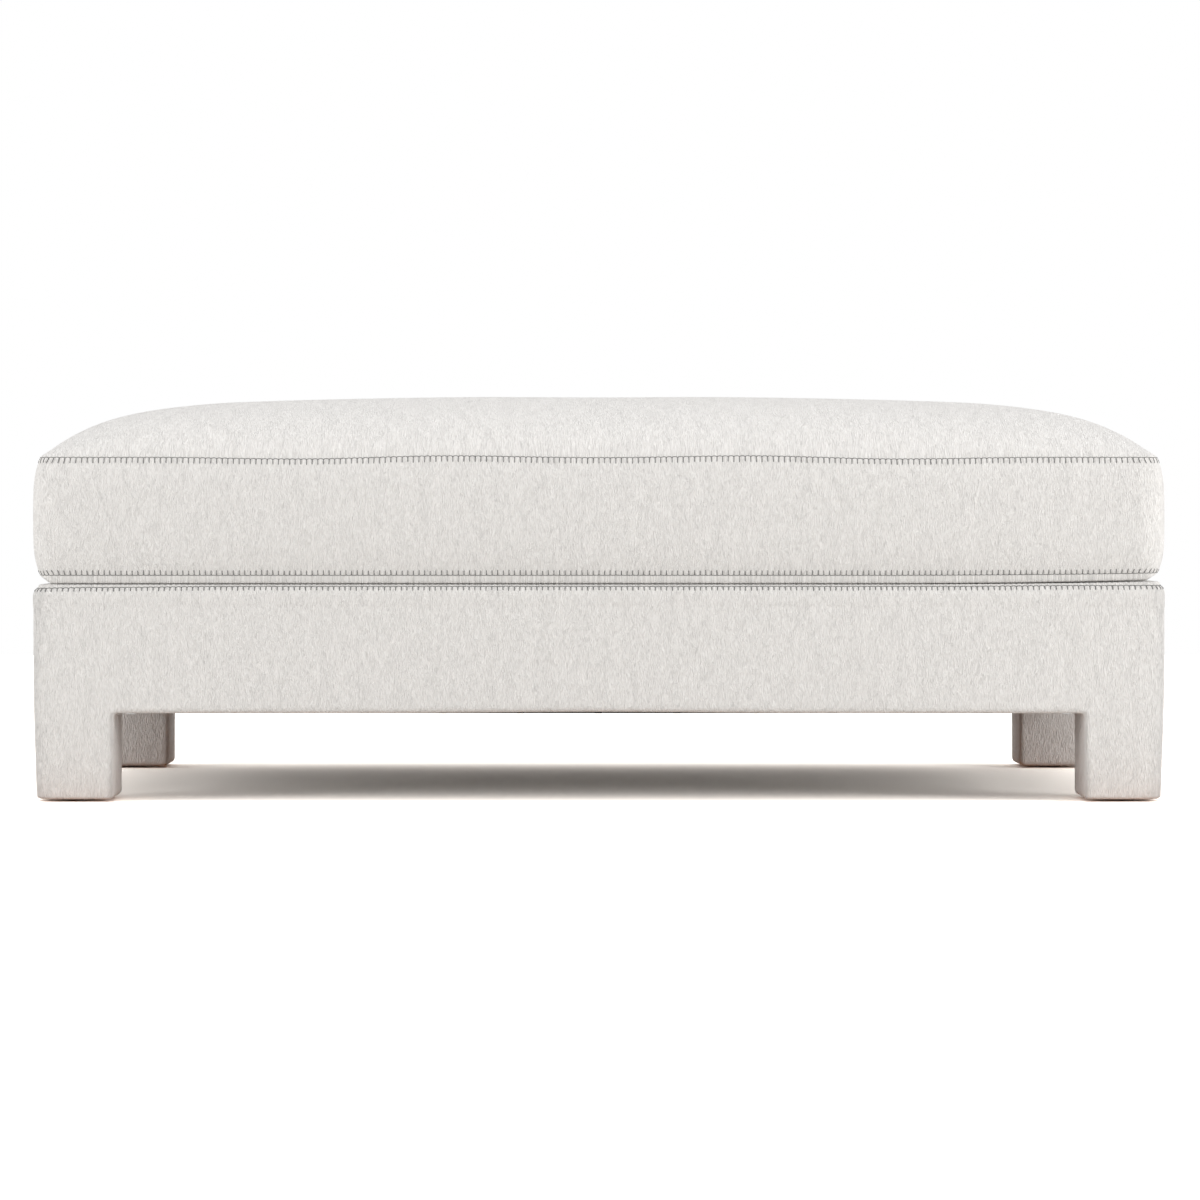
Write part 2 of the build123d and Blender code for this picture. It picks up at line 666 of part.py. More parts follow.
def threads():
    """The blanket stitch's edge thread along each of the three seams."""
    radius = thread / 2
    lift = radius + gap / 3
    top = Pos(lift, top_seam_height - cloth / 2) * Circle(radius)
    save(ring(seam_length, seam_depth, seam_corner, top), "stitch_cushion_top")
    bottom = Pos(lift, bottom_seam_height + gap / 2) * Circle(radius)
    save(ring(seam_length, seam_depth, seam_corner, bottom), "stitch_cushion_bottom")
    share = (deck_edge + lift) / deck_edge
    out = deck_edge - (deck_edge - deck_seam_inset) * share
    rise = base_height - deck_edge + (deck_edge - deck_seam_drop) * share
    edge = Pos(-out, rise) * Circle(radius)
    save(ring(length, depth, base_corner, edge), "stitch_base_top")


os.makedirs("parts", exist_ok=True)
timber_frame()
springs()
deck()
pads()
underside()
cover()
cushion()
zipper()
threads()
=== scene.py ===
# %% [markdown]
# A coffee-table ottoman has two soft bodies: a padded box base on four covered legs, and a
# loose crowned cushion. Both wear one off-white slubby cloth, and a grey blanket stitch runs
# along three seams. The timber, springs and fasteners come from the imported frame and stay
# where they are. This lesson sews the cloth on top of them and puts the filling inside.

# %% The frame
import json
from math import cos, pi, radians, sin

import bpy
import numpy as np
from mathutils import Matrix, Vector

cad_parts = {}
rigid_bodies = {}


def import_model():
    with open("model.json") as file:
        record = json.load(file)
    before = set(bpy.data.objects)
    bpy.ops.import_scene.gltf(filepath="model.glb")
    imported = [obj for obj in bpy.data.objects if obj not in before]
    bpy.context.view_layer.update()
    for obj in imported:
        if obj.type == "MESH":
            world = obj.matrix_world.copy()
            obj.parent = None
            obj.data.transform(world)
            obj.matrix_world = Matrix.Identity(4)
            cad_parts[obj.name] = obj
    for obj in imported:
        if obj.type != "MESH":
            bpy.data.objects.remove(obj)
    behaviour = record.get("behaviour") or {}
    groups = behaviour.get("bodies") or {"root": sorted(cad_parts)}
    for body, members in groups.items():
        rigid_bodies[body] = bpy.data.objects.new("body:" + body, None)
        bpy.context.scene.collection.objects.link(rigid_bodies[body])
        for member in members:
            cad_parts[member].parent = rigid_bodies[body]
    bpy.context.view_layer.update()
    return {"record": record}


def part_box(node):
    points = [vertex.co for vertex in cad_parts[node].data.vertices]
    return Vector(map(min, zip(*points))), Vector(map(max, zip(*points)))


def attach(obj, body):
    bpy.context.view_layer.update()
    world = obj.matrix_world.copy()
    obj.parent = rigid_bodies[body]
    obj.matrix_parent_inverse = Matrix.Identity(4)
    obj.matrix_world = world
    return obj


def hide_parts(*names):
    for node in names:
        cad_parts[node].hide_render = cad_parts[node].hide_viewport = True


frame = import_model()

MM = 0.001
TINY = 0.01 * MM

# %% [markdown]
# The photograph looks almost straight at the front from just under the cushion's height,
# through a long lens, with its verticals parallel. A level camera with a little shift gives
# the same view: the shift frames the object without tipping the verticals.

# %% The camera
SENSOR = 36.0
FRAME_PIXELS = 1200
MM_PER_PIXEL = 1.206
FRONT_DISTANCE = 4.65
EYE_PIXEL = (559.1, 528.0)
MIDDLE_PIXEL = 599.0
FLOOR_PIXEL = 802.3
cover_low, cover_high = (Vector(corner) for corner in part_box("cover_front_and_sides"))

camera_data = bpy.data.cameras.new("camera")
camera_data.sensor_width = SENSOR
camera_data.lens = FRONT_DISTANCE / (MM_PER_PIXEL * MM) * SENSOR / FRAME_PIXELS
camera_data.shift_x = (FRAME_PIXELS / 2 - EYE_PIXEL[0]) / FRAME_PIXELS
camera_data.shift_y = (EYE_PIXEL[1] - FRAME_PIXELS / 2) / FRAME_PIXELS
camera = bpy.data.objects.new("camera", camera_data)
camera.location = ((EYE_PIXEL[0] - MIDDLE_PIXEL) * MM_PER_PIXEL * MM,
                   cover_low.y - FRONT_DISTANCE,
                   (FLOOR_PIXEL - EYE_PIXEL[1]) * MM_PER_PIXEL * MM)
camera.rotation_euler = (radians(90), 0, 0)
bpy.context.scene.collection.objects.link(camera)
bpy.context.scene.camera = camera
print("camera", tuple(round(value, 3) for value in camera.location),
      round(camera_data.lens, 1), "mm")

# %% [markdown]
# Colours are written as sRGB hex, as a paint chart gives them, and one function turns them to
# the linear values that shaders need. One more adds a shader node with its settings, the
# stops of its colour ramp if it has one, and its links. Most finishes here are matt and end
# alike, so their last nodes (bump, shader, output) are written once.

# %% Colours and nodes


def linear(hex_colour):
    """An sRGB hex colour as linear RGBA."""
    values = [int(hex_colour[place:place + 2], 16) / 255 for place in (1, 3, 5)]
    curve = [v / 12.92 if v <= 0.04045 else ((v + 0.055) / 1.055) ** 2.4 for v in values]
    return (*curve, 1.0)


def node(tree, kind, settings=None, stops=(), **inputs):
    """Add a node; an input takes a value or an output, by name or as _number."""
    made = tree.nodes.new("ShaderNode" + kind)
    for name, value in (settings or {}).items():
        setattr(made, name, value)
    for _ in stops[2:]:
        made.color_ramp.elements.new(0.5)
    for place, (position, colour) in enumerate(stops):
        made.color_ramp.elements[place].position = position
        made.color_ramp.elements[place].color = linear(colour)
    for name, value in inputs.items():
        key = int(name[1:]) if name[0] == "_" else name.replace("_", " ")
        if isinstance(value, bpy.types.NodeSocket):
            tree.links.new(value, made.inputs[key])
        else:
            made.inputs[key].default_value = value
    return made


print("a mid grey, #808080, throws back", round(linear("#808080")[0], 3), "of the light")

# %% A material's first and last nodes


def material(name):
    """A new material and its empty tree."""
    made = bpy.data.materials.new(name)
    made.use_nodes = True
    made.node_tree.nodes.clear()
    return made, made.node_tree


def finished(made, tone, height, strength, depth, **look):
    """Add a material's last nodes: its bump, of a depth in metres, its shader and output."""
    tree = made.node_tree
    bump = node(tree, "Bump", Height=height, Strength=strength, Distance=depth)
    shader = node(tree, "BsdfPrincipled", Base_Color=tone, Normal=bump.outputs["Normal"],
                  **look)
    node(tree, "OutputMaterial", Surface=shader.outputs["BSDF"])
    print("finish", made.name, "with", len(tree.nodes), "nodes")
    return made


# %% [markdown]
# The cover is an off-white chenille: a soft cut-pile yarn, woven, whose thick and thin places
# stand up as short wavy upright ridges, each about 1 mm wide and 7 mm long. The eye sees faint
# vertical streaks in front light, a crinkle in the shade, no shine, and a soft bright edge. So
# the shader is rough with a little sheen, and noise stretched along the yarn drives mostly the
# bump, and the tone a little: painted shade darkens the valleys between ridges, and painted
# light brightens the crests. The bump is deeper than the real pile, or it wouldn't show from
# where the camera stands. The pattern is measured along the cloth itself, in a map named cloth
# that is in metres.

# %% Slubby chenille
RIDGE_WIDTH = 1.05 * MM
RIDGE_LENGTH = 7.5 * MM
RIDGE_HEIGHT = 2.6 * MM
SWAY_PITCH = 22 * MM
SWAY = 6 * RIDGE_WIDTH
GRAIN = 0.8 * MM
GRAIN_SHARE = 0.18
# The valley tone is painted shade and the crest tone is painted light; the body tone is the
# cloth's own.
CLOTH_VALLEY_PAINTED_SHADE, CLOTH_BODY, CLOTH_CREST_PAINTED_LIGHT = "#e8e5e1", "#eeebe8", "#f1efec"


def slubby_chenille():
    """Upright ridges that sway from side to side, with a fine grain on them."""
    made, tree = material("slubby_chenille")
    place = node(tree, "UVMap", {"uv_map": "cloth"}).outputs["UV"]
    sway = node(tree, "TexNoise", {"noise_dimensions": "2D"}, Vector=place,
                Scale=1 / SWAY_PITCH, Detail=2.0).outputs["Color"]
    swayed = node(tree, "VectorMath", {"operation": "MULTIPLY_ADD"}, _0=sway,
                  _1=(SWAY, 0, 0), _2=place).outputs[0]
    along = node(tree, "Mapping", Vector=swayed,
                 Scale=(1 / RIDGE_WIDTH, 1 / RIDGE_LENGTH, 1)).outputs["Vector"]
    ridges = node(tree, "TexNoise", {"noise_dimensions": "2D"}, Vector=along, Scale=1.0,
                  Detail=1.5, Roughness=0.5, Distortion=0.35).outputs["Fac"]
    grain = node(tree, "TexNoise", {"noise_dimensions": "2D"}, Vector=place, Scale=1 / GRAIN,
                 Detail=2.0).outputs["Fac"]
    height = node(tree, "Math", {"operation": "MULTIPLY_ADD"}, _0=grain, _1=GRAIN_SHARE,
                  _2=ridges).outputs[0]
    # The tone follows the ridges' height: painted shade in the valleys, painted light on the
    # crests.
    tone = node(tree, "ValToRGB", stops=((0.30, CLOTH_VALLEY_PAINTED_SHADE), (0.47, CLOTH_BODY),
                                         (0.66, CLOTH_CREST_PAINTED_LIGHT)), Fac=ridges).outputs["Color"]
    return finished(made, tone, height, 0.9, RIDGE_HEIGHT, Roughness=0.94,
                    Specular_IOR_Level=0.2, Sheen_Weight=0.4, Sheen_Roughness=0.5)


chenille = slubby_chenille()

# %% [markdown]
# The decorative thread is mercerised cotton, four plies twisted together, dyed mid grey. The
# real twist is finer than a pixel, so it is drawn coarser, as slanted bands nearly 3 mm
# apart. The zip and its slot are sewn with a thinner, off-white thread of the same make.
# At a scale of 1, Blender's wave texture repeats each 2 pi / 20 of a metre, and each
# 2 pi / 10 along an axis when its bands are diagonal.

# %% Twisted thread
STRAIGHT_WAVE, DIAGONAL_WAVE = 2 * pi / 20, 2 * pi / 10
PLY_PITCH = 2.765 * MM


def twisted_thread(name, dark, light):
    """Cotton whose plies show as slanted bands in tone and bump."""
    made, tree = material(name)
    place = node(tree, "TexCoord").outputs["Object"]
    bands = node(tree, "TexWave", {"bands_direction": "DIAGONAL"}, Vector=place,
                 Scale=DIAGONAL_WAVE / PLY_PITCH, Distortion=1.5, Detail=1.0).outputs["Fac"]
    tone = node(tree, "ValToRGB", stops=((0.0, dark), (1.0, light)),
                Fac=bands).outputs["Color"]
    return finished(made, tone, bands, 0.5, 0.2 * MM, Roughness=0.8, Sheen_Weight=0.1)


grey_cotton = twisted_thread("grey_mercerised_cotton", "#5f5e5d", "#7b7a79")
sewing_thread = twisted_thread("off_white_core_spun_thread", "#cfcac1", "#dedad2")

# %% [markdown]
# Cloth pieces are meshes made from rows of points that run round the ottoman. This helper
# turns points and faces into a smooth-shaded piece, with its cloth map.

# %% Cloth pieces


def piece(name, points, faces, cloth_map=None, finish=None):
    """A mesh object; cloth_map holds (u, v) in metres for each face corner in turn."""
    mesh = bpy.data.meshes.new(name)
    mesh.from_pydata(np.asarray(points).tolist(), [],
                     [[int(index) for index in face] for face in faces])
    mesh.polygons.foreach_set("use_smooth", [True] * len(mesh.polygons))
    if cloth_map is not None:
        layer = mesh.uv_layers.new(name="cloth")
        layer.uv.foreach_set("vector", np.asarray(cloth_map, np.float32).ravel())
    if finish:
        mesh.materials.append(finish)
    mesh.validate()
    made = bpy.data.objects.new(name, mesh)
    bpy.context.scene.collection.objects.link(made)
    return made


def corner_map(faces, by_point):
    """A face-corner map looked up from one (u, v) per point."""
    return np.asarray(by_point)[np.concatenate([np.asarray(face) for face in faces])]


def place_of(made):
    """The points of a mesh piece as an array."""
    where = np.empty(3 * len(made.data.vertices), np.float32)
    made.data.vertices.foreach_get("co", where)
    return where.reshape(-1, 3).astype(float)


def put(made, points):
    """Move the points of a mesh piece."""
    made.data.vertices.foreach_set("co", np.asarray(points, np.float32).ravel())
    made.data.update()


# %% [markdown]
# Both bodies have a rounded rectangle as their outline. Their seams carry a stitch every
# 6.8 mm, and four columns of points per stitch let the cloth puff between one stitch and the
# next. Each side of the outline runs from one corner's middle to the next corner's middle,
# and gets a whole number of stitches.

# %% Outlines
COLUMNS_PER_STITCH = 4


def outline(half_x, half_y, radius, stitches_x, stitches_y):
    """Points, outward normals and run of a rounded rectangle, anticlockwise from above."""
    arc = radius * pi / 4
    points, normals, runs, start = [], [], [], 0.0
    for index, (out_x, out_y) in enumerate(((0, -1), (1, 0), (0, 1), (-1, 0))):
        out = np.array((out_x, out_y), float)
        ahead = np.array((-out_y, out_x), float)
        long_side = index % 2 == 0
        span = 2 * ((half_x if long_side else half_y) - radius)
        reach = half_y if long_side else half_x
        count = (stitches_x if long_side else stitches_y) * COLUMNS_PER_STITCH
        total = span + 2 * arc
        for step in range(count):
            run = step * total / count
            past = min(max(run - arc, 0), span)
            angle = (run - arc - past) / radius
            normal = out * cos(angle) + ahead * sin(angle)
            middle = out * (reach - radius) + ahead * (past - span / 2)
            points.append(middle + normal * radius)
            normals.append(normal)
            runs.append(start + run)
        start += total
    return np.array(points), np.array(normals), np.array(runs), start


print(COLUMNS_PER_STITCH, "columns of points for each stitch")

# %% Rows of points and their faces


def stack(rows):
    """Join rows of points into one list, with the index where each row starts."""
    starts = np.cumsum([0] + [len(row) for row in rows])
    return np.concatenate(rows), starts[:-1]


def ring_faces(starts, counts, outward_first):
    """Quads between closed rows, and five-sided faces where a row has half the columns."""
    faces = []
    for index in range(len(counts) - 1):
        first, second = starts[index], starts[index + 1]
        many, few = counts[index], counts[index + 1]
        for column in range(few):
            after = (column + 1) % few
            if many == few:
                face = [first + column, first + after, second + after, second + column]
            else:
                face = [first + 2 * column, first + 2 * column + 1,
                        first + (2 * column + 2) % many, second + after, second + column]
            faces.append(face if outward_first else face[::-1])
    return faces


def level(points, height):
    """Plan points lifted to a height."""
    return np.column_stack((points, np.broadcast_to(height, len(points))))


# %% Grids inside an outline


def filled_grid(edge, cells_x, cells_y):
    """Plan points of a grid whose border is a closed row of points."""
    u = np.linspace(0, 1, cells_x + 1)[:, None, None]
    v = np.linspace(0, 1, cells_y + 1)[None, :, None]
    front = edge[:cells_x + 1][:, None]
    right = edge[cells_x:cells_x + cells_y + 1][None]
    rear = edge[cells_x + cells_y:2 * cells_x + cells_y + 1][::-1][:, None]
    left = np.concatenate((edge[2 * cells_x + cells_y:], edge[:1]))[::-1][None]
    corners = ((1 - u) * (1 - v) * edge[0] + u * (1 - v) * edge[cells_x]
               + u * v * edge[cells_x + cells_y] + (1 - u) * v * edge[2 * cells_x + cells_y])
    return (1 - v) * front + v * rear + (1 - u) * left + u * right - corners


def grid_faces(start, border_start, cells_x, cells_y, upward):
    """Faces of a grid: its border is an existing row, its inside starts at an index."""
    total = 2 * (cells_x + cells_y)

    def index(i, j):
        if j == 0:
            return border_start + i
        if i == cells_x:
            return border_start + cells_x + j
        if j == cells_y:
            return border_start + 2 * cells_x + cells_y - i
        if i == 0:
            return border_start + (total - j) % total
        return start + (i - 1) * (cells_y - 1) + j - 1

    faces = []
    for i in range(cells_x):
        for j in range(cells_y):
            face = [index(i, j), index(i + 1, j), index(i + 1, j + 1), index(i, j + 1)]
            faces.append(face if upward else face[::-1])
    return faces


# %% Panels and walls


def panel_plan(edge, out, insets, halving, cells, upward):
    """A panel seen in plan: dense rows at the seam, halved inwards, then a grid."""
    plans = [edge - out * inset for inset in insets]
    for inset in halving:
        edge, out = edge[::2], out[::2]
        plans.append(edge - out * inset)
    counts = [len(plan) for plan in plans]
    inner = filled_grid(plans[-1], *cells)[1:-1, 1:-1].reshape(-1, 2)
    plan, starts = stack(plans + [inner])
    faces = ring_faces(starts, counts, upward)
    faces += grid_faces(starts[len(counts)], starts[len(counts) - 1], *cells, upward)
    return plan, faces, starts, counts


def wall_map(here, after, heights):
    """The cloth map of rows of quads round a wall: each quad's two runs, each row's height."""
    rows = []
    for high, low in zip(heights, heights[1:]):
        low_row, high_row = np.full(len(here), low), np.full(len(here), high)
        rows.append(np.stack((np.column_stack((here, low_row)),
                              np.column_stack((after, low_row)),
                              np.column_stack((after, high_row)),
                              np.column_stack((here, high_row))), axis=1))
    return np.concatenate(rows).reshape(-1, 2)


# %% [markdown]
# The cushion's cover is one closed form: a crowned top panel, boxing that swells out round
# the sides, and a bottom panel that turns under below its own seam. The crown climbs fast at
# the seam and then flattens, as foam does under a taut cover, and has settled a little in
# the middle. Rows of points lie close together beside the seams, where the stitches gather
# the cloth, and far apart elsewhere.

# %% The cushion's form
top_high = Vector(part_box("cushion_top_panel")[1])
boxing_high = Vector(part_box("cushion_boxing")[1])
tray_low, tray_high = (Vector(corner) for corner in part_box("cushion_bottom_panel"))
SEAM_HALF = (top_high.x, top_high.y)
SEAM_CORNER = 25 * MM
TOP_SEAM = 416 * MM
BOTTOM_SEAM = tray_high.z
CUSHION_FLOOR = tray_low.z
BOXING = TOP_SEAM - BOTTOM_SEAM
AIR_LIFT = 2.0 * MM
CROWN = top_high.z - TOP_SEAM - AIR_LIFT
SHOULDER = 45 * MM
SHOULDER_SHARE = 0.8
SEAM_ROLL = 3.2 * MM
SEAM_ROLL_REACH = 14 * MM
SETTLED = 1.6 * MM
SETTLED_REACH = 110 * MM
BULGE = boxing_high.x - SEAM_HALF[0]
BULGE_POWER = 4
BOTTOM_EDGE = 6.0 * MM
STEEP_SHARE = 0.25
END_TAPER = 15 * MM
CUSHION_STITCHES = (198, 108)
NEAR_SEAM = np.array((0.0, 0.7, 1.6, 2.8, 4.4, 6.4, 9.0)) * MM
HALVING = np.array((12.5, 16.5, 21.0)) * MM
CELLS = tuple(stitches // 2 for stitches in CUSHION_STITCHES)
print("crown", round(CROWN / MM, 1), "mm over its seam, boxing", round(BOXING / MM, 1),
      "mm high")

# %% The crown


def crown_share(inset, half):
    """How much of the crown is reached at a distance inside the seam."""
    inset = np.maximum(inset, 0)
    shoulder = SHOULDER_SHARE * (1 - np.exp(-inset / SHOULDER))
    dome = (1 - SHOULDER_SHARE) * (1 - (1 - np.minimum(inset / half, 1)) ** 2)
    full = SHOULDER_SHARE * (1 - np.exp(-half / SHOULDER)) + 1 - SHOULDER_SHARE
    return (shoulder + dome) / full


def inset_of(plan):
    """How far inside the seam's outline plan points lie."""
    over = np.abs(plan) - (np.array(SEAM_HALF) - SEAM_CORNER)
    outside = np.linalg.norm(np.maximum(over, 0), axis=1)
    return SEAM_CORNER - outside - np.minimum(np.max(over, axis=1), 0)


def seam_excess(plan):
    """What the plain crown formula lifts the seam by at its rounded corners."""
    over = np.maximum(np.abs(plan) - (np.array(SEAM_HALF) - SEAM_CORNER), 0)
    reach = np.maximum(np.linalg.norm(over, axis=1), TINY)
    inside = SEAM_CORNER * (1 - over / reach[:, None])
    lift = crown_share(inside[:, 0], SEAM_HALF[0]) * crown_share(inside[:, 1], SEAM_HALF[1])
    return np.where(over.min(axis=1) > 0, lift, 0)


def crown_height(plan):
    """The top panel's height over the floor."""
    x, y = np.abs(plan).T
    inset = np.maximum(inset_of(plan), 0)
    share = crown_share(SEAM_HALF[0] - x, SEAM_HALF[0])
    share = share * crown_share(SEAM_HALF[1] - y, SEAM_HALF[1])
    share = share - seam_excess(plan) * np.exp(-inset / SEAM_ROLL_REACH)
    roll = SEAM_ROLL * inset / SEAM_ROLL_REACH * np.exp(1 - inset / SEAM_ROLL_REACH)
    settled = SETTLED * share * np.exp(-(x / SETTLED_REACH) ** 2)
    return TOP_SEAM + CROWN * share + roll - settled


print("crown's middle", round(crown_height(np.zeros((1, 2)))[0] / MM, 1),
      "mm over the floor, before the air lifts it")

# %% Its sides and its underside


def bow(drop):
    """How far the boxing stands out, by the drop from the top seam."""
    return BULGE * (1 - np.abs(1 - 2 * drop / BOXING) ** BULGE_POWER)


def bottom_height(plan):
    """The bottom panel: below its seam it turns under to a flat, more gently at the ends."""
    inset = np.clip(inset_of(plan), 0, BOTTOM_EDGE)
    rise = BOTTOM_EDGE - np.sqrt(np.maximum(BOTTOM_EDGE**2 - (BOTTOM_EDGE - inset) ** 2, 0))
    from_end = SEAM_HALF[0] - np.abs(plan[:, 0])
    steep = np.clip(1 - inset / (STEEP_SHARE * BOTTOM_EDGE), 0, 1)
    rise += (BOTTOM_SEAM - CUSHION_FLOOR - BOTTOM_EDGE) * steep
    taper = (BOTTOM_SEAM - CUSHION_FLOOR) * np.clip(1 - from_end / END_TAPER, 0, 1)
    return CUSHION_FLOOR + np.maximum(rise, taper)


ring, ring_out, ring_run, ring_length = outline(*SEAM_HALF, SEAM_CORNER, *CUSHION_STITCHES)
ring_phase = np.arange(len(ring)) / COLUMNS_PER_STITCH
print("cushion outline", len(ring), "columns,", round(ring_length, 3), "m round,",
      "a stitch every", round(ring_length / len(ring) * COLUMNS_PER_STITCH / MM, 2), "mm")

# %% The cushion's two panels
TURN = np.array((0.0, 0.4, 1.5, 2.6, 4.2, 6.0, 9.0)) * MM
top_plan, top_faces, top_starts, top_counts = panel_plan(ring, ring_out, NEAR_SEAM, HALVING,
                                                         CELLS, True)
cushion_top = piece("cushion_top_cloth", level(top_plan, crown_height(top_plan)), top_faces,
                    corner_map(top_faces, top_plan), chenille)
low_plan, low_faces, low_starts, low_counts = panel_plan(ring, ring_out, TURN, HALVING,
                                                         CELLS, False)
cushion_bottom = piece("cushion_bottom_cloth", level(low_plan, bottom_height(low_plan)),
                       low_faces, corner_map(low_faces, low_plan), chenille)
print("faces on top", len(top_faces), "and below", len(low_faces))

# %% [markdown]
# The boxing's rear carries the zip, in a slot that nearly reaches from end to end. Two rows
# of points mark the slot's edges, the quads between them are left out, and the cloth folds
# in at each edge as a hem does.

# %% The boxing and its zip slot
tape_low, tape_high = (Vector(corner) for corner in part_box("zipper_tapes"))
ZIP_HALF = tape_high.x
ZIP_HEIGHT = (tape_low.z + tape_high.z) / 2
SLOT_HALF = 4.5 * MM
FOLD = np.array(((0.3, 0.3), (0.9, 0.45), (1.6, 0.3))) * MM
slot_drops = (TOP_SEAM - ZIP_HEIGHT - SLOT_HALF, TOP_SEAM - ZIP_HEIGHT + SLOT_HALF)
inner_drops = np.array((12.5, 17.0, 24.0, 34.0, 47.0, 60.0)) * MM
drops = np.concatenate((NEAR_SEAM, inner_drops, slot_drops, BOXING - inner_drops[::-1],
                        BOXING - NEAR_SEAM[::-1]))
side_rows = [level(ring + ring_out * bow(drop), TOP_SEAM - drop) for drop in drops]
side_points, side_starts = stack(side_rows)
side_faces = ring_faces(side_starts, [len(ring)] * len(drops), False)
side_map = wall_map(ring_run, np.append(ring_run[1:], ring_length), TOP_SEAM - drops)
side_map = side_map.reshape(-1, 4, 2)
print("boxing rows", len(drops), "and a slot", round(2 * SLOT_HALF / MM, 1), "mm wide")

# %% The slot's folded edges
on_rear = np.isclose(ring_out[:, 1], 1)
slot_columns = np.nonzero(on_rear & (np.abs(ring[:, 0]) <= ZIP_HALF))[0]
slot_row = len(NEAR_SEAM) + len(inner_drops)
gone = set((slot_row * len(ring) + slot_columns[:-1]).tolist())
side_map = [corners for index, corners in enumerate(side_map) if index not in gone]
side_faces = [face for index, face in enumerate(side_faces) if index not in gone]
rows = [side_points]
for row, way in ((slot_row, -1), (slot_row + 1, 1)):
    edge = before = side_starts[row] + slot_columns
    for inwards, across in FOLD:
        here = np.arange(len(edge)) + sum(len(points) for points in rows)
        rows.append(side_points[edge] + (0, -inwards, way * across))
        for one in range(len(edge) - 1):
            face = [before[one], before[one + 1], here[one + 1], here[one]]
            side_faces.append(face if way < 0 else face[::-1])
            run = ring_run[slot_columns[one]]
            side_map.append(np.full((4, 2), (run, ZIP_HEIGHT + way * inwards)))
        before = here
cushion_side = piece("cushion_boxing_cloth", np.concatenate(rows), side_faces,
                     np.concatenate(side_map), chenille)
cushion_pieces = [cushion_top, cushion_side, cushion_bottom]
print("cushion cover faces", [len(made.data.polygons) for made in cushion_pieces])

# %% [markdown]
# A plump cushion isn't a formula. A light copy of the same form, one cell per two stitches,
# is blown up by Blender's cloth with a little air pressure, pinned along both seams and where
# it lies on the deck. The fine cover is bound to that copy and follows it, so the cloth
# solver stays quick and the seams stay exact. How far a point may move is capped, the crown
# starts lower by what the air lifts it, and near the zip nothing moves, because the zip's own
# parts lie there. The bottom panel lies on the deck, so it stays as it is.

# %% The light copy for the cloth solver
CAGE_STEP = 2 * COLUMNS_PER_STITCH
CAGE_SHARES = np.array((0, 0.04, 0.1, 0.2, 0.35, 0.5, 0.65, 0.8, 0.9, 0.96, 1.0))
cage_ring, cage_out = ring[::CAGE_STEP], ring_out[::CAGE_STEP]
cage_inner = filled_grid(cage_ring, *CELLS)[1:-1, 1:-1].reshape(-1, 2)
cage_rows = [level(cage_ring + cage_out * bow(share * BOXING), TOP_SEAM - share * BOXING)
             for share in CAGE_SHARES]
cage_rows.append(level(cage_ring - cage_out * BOTTOM_EDGE, CUSHION_FLOOR))
cage_points, cage_starts = stack(cage_rows + [level(cage_inner, crown_height(cage_inner)),
                                              level(cage_inner, CUSHION_FLOOR)])
turned = len(cage_rows)
cage_faces = ring_faces(cage_starts[:turned], [len(cage_ring)] * turned, False)
cage_faces += grid_faces(cage_starts[turned], 0, *CELLS, True)
cage_faces += grid_faces(cage_starts[turned + 1], cage_starts[turned - 1], *CELLS, False)
cage = piece("cushion_cage", cage_points, cage_faces)
print("light copy", len(cage_points), "points")

# %% Tools for the solver
SOLVER_FRAMES = 20
TAUT_COVER = {"use_pressure": True, "uniform_pressure_force": 1.0, "mass": 0.4,
              "tension_stiffness": 80, "compression_stiffness": 80, "shear_stiffness": 32,
              "bending_stiffness": 10, "air_damping": 5, "quality": 5}


def follow(target, pieces):
    """Bind fine pieces to a light one, so that they take its new shape."""
    for made in pieces:
        modifier = made.modifiers.new("follow", "SURFACE_DEFORM")
        modifier.target = target
        with bpy.context.temp_override(object=made, active_object=made):
            bpy.ops.object.surfacedeform_bind(modifier=modifier.name)
        print(made.name, "bound:", modifier.is_bound)


def shaped(made):
    """The points of a piece with its modifiers."""
    seen = made.evaluated_get(bpy.context.evaluated_depsgraph_get())
    where = np.empty(3 * len(seen.data.vertices), np.float32)
    seen.data.vertices.foreach_get("co", where)
    return where.reshape(-1, 3).astype(float)


def blow_up(made, pinned):
    """Cloth with air pressure and no gravity; returns how far each point has moved."""
    group = made.vertex_groups.new(name="pinned")
    group.add([int(index) for index in pinned], 1.0, "REPLACE")
    cloth = made.modifiers.new("air", "CLOTH")
    cloth.settings.vertex_group_mass = "pinned"
    cloth.settings.effector_weights.gravity = 0
    for setting, value in TAUT_COVER.items():
        setattr(cloth.settings, setting, value)
    cloth.point_cache.frame_start = 1
    cloth.point_cache.frame_end = SOLVER_FRAMES
    for step in range(1, SOLVER_FRAMES + 1):
        bpy.context.scene.frame_set(step)
    moved = shaped(made) - place_of(made)
    made.modifiers.remove(cloth)
    bpy.context.scene.frame_set(1)
    return moved


# %% Air in the cushion
SWELL_CAP = 2.5 * MM
STILL_REACH = 60 * MM

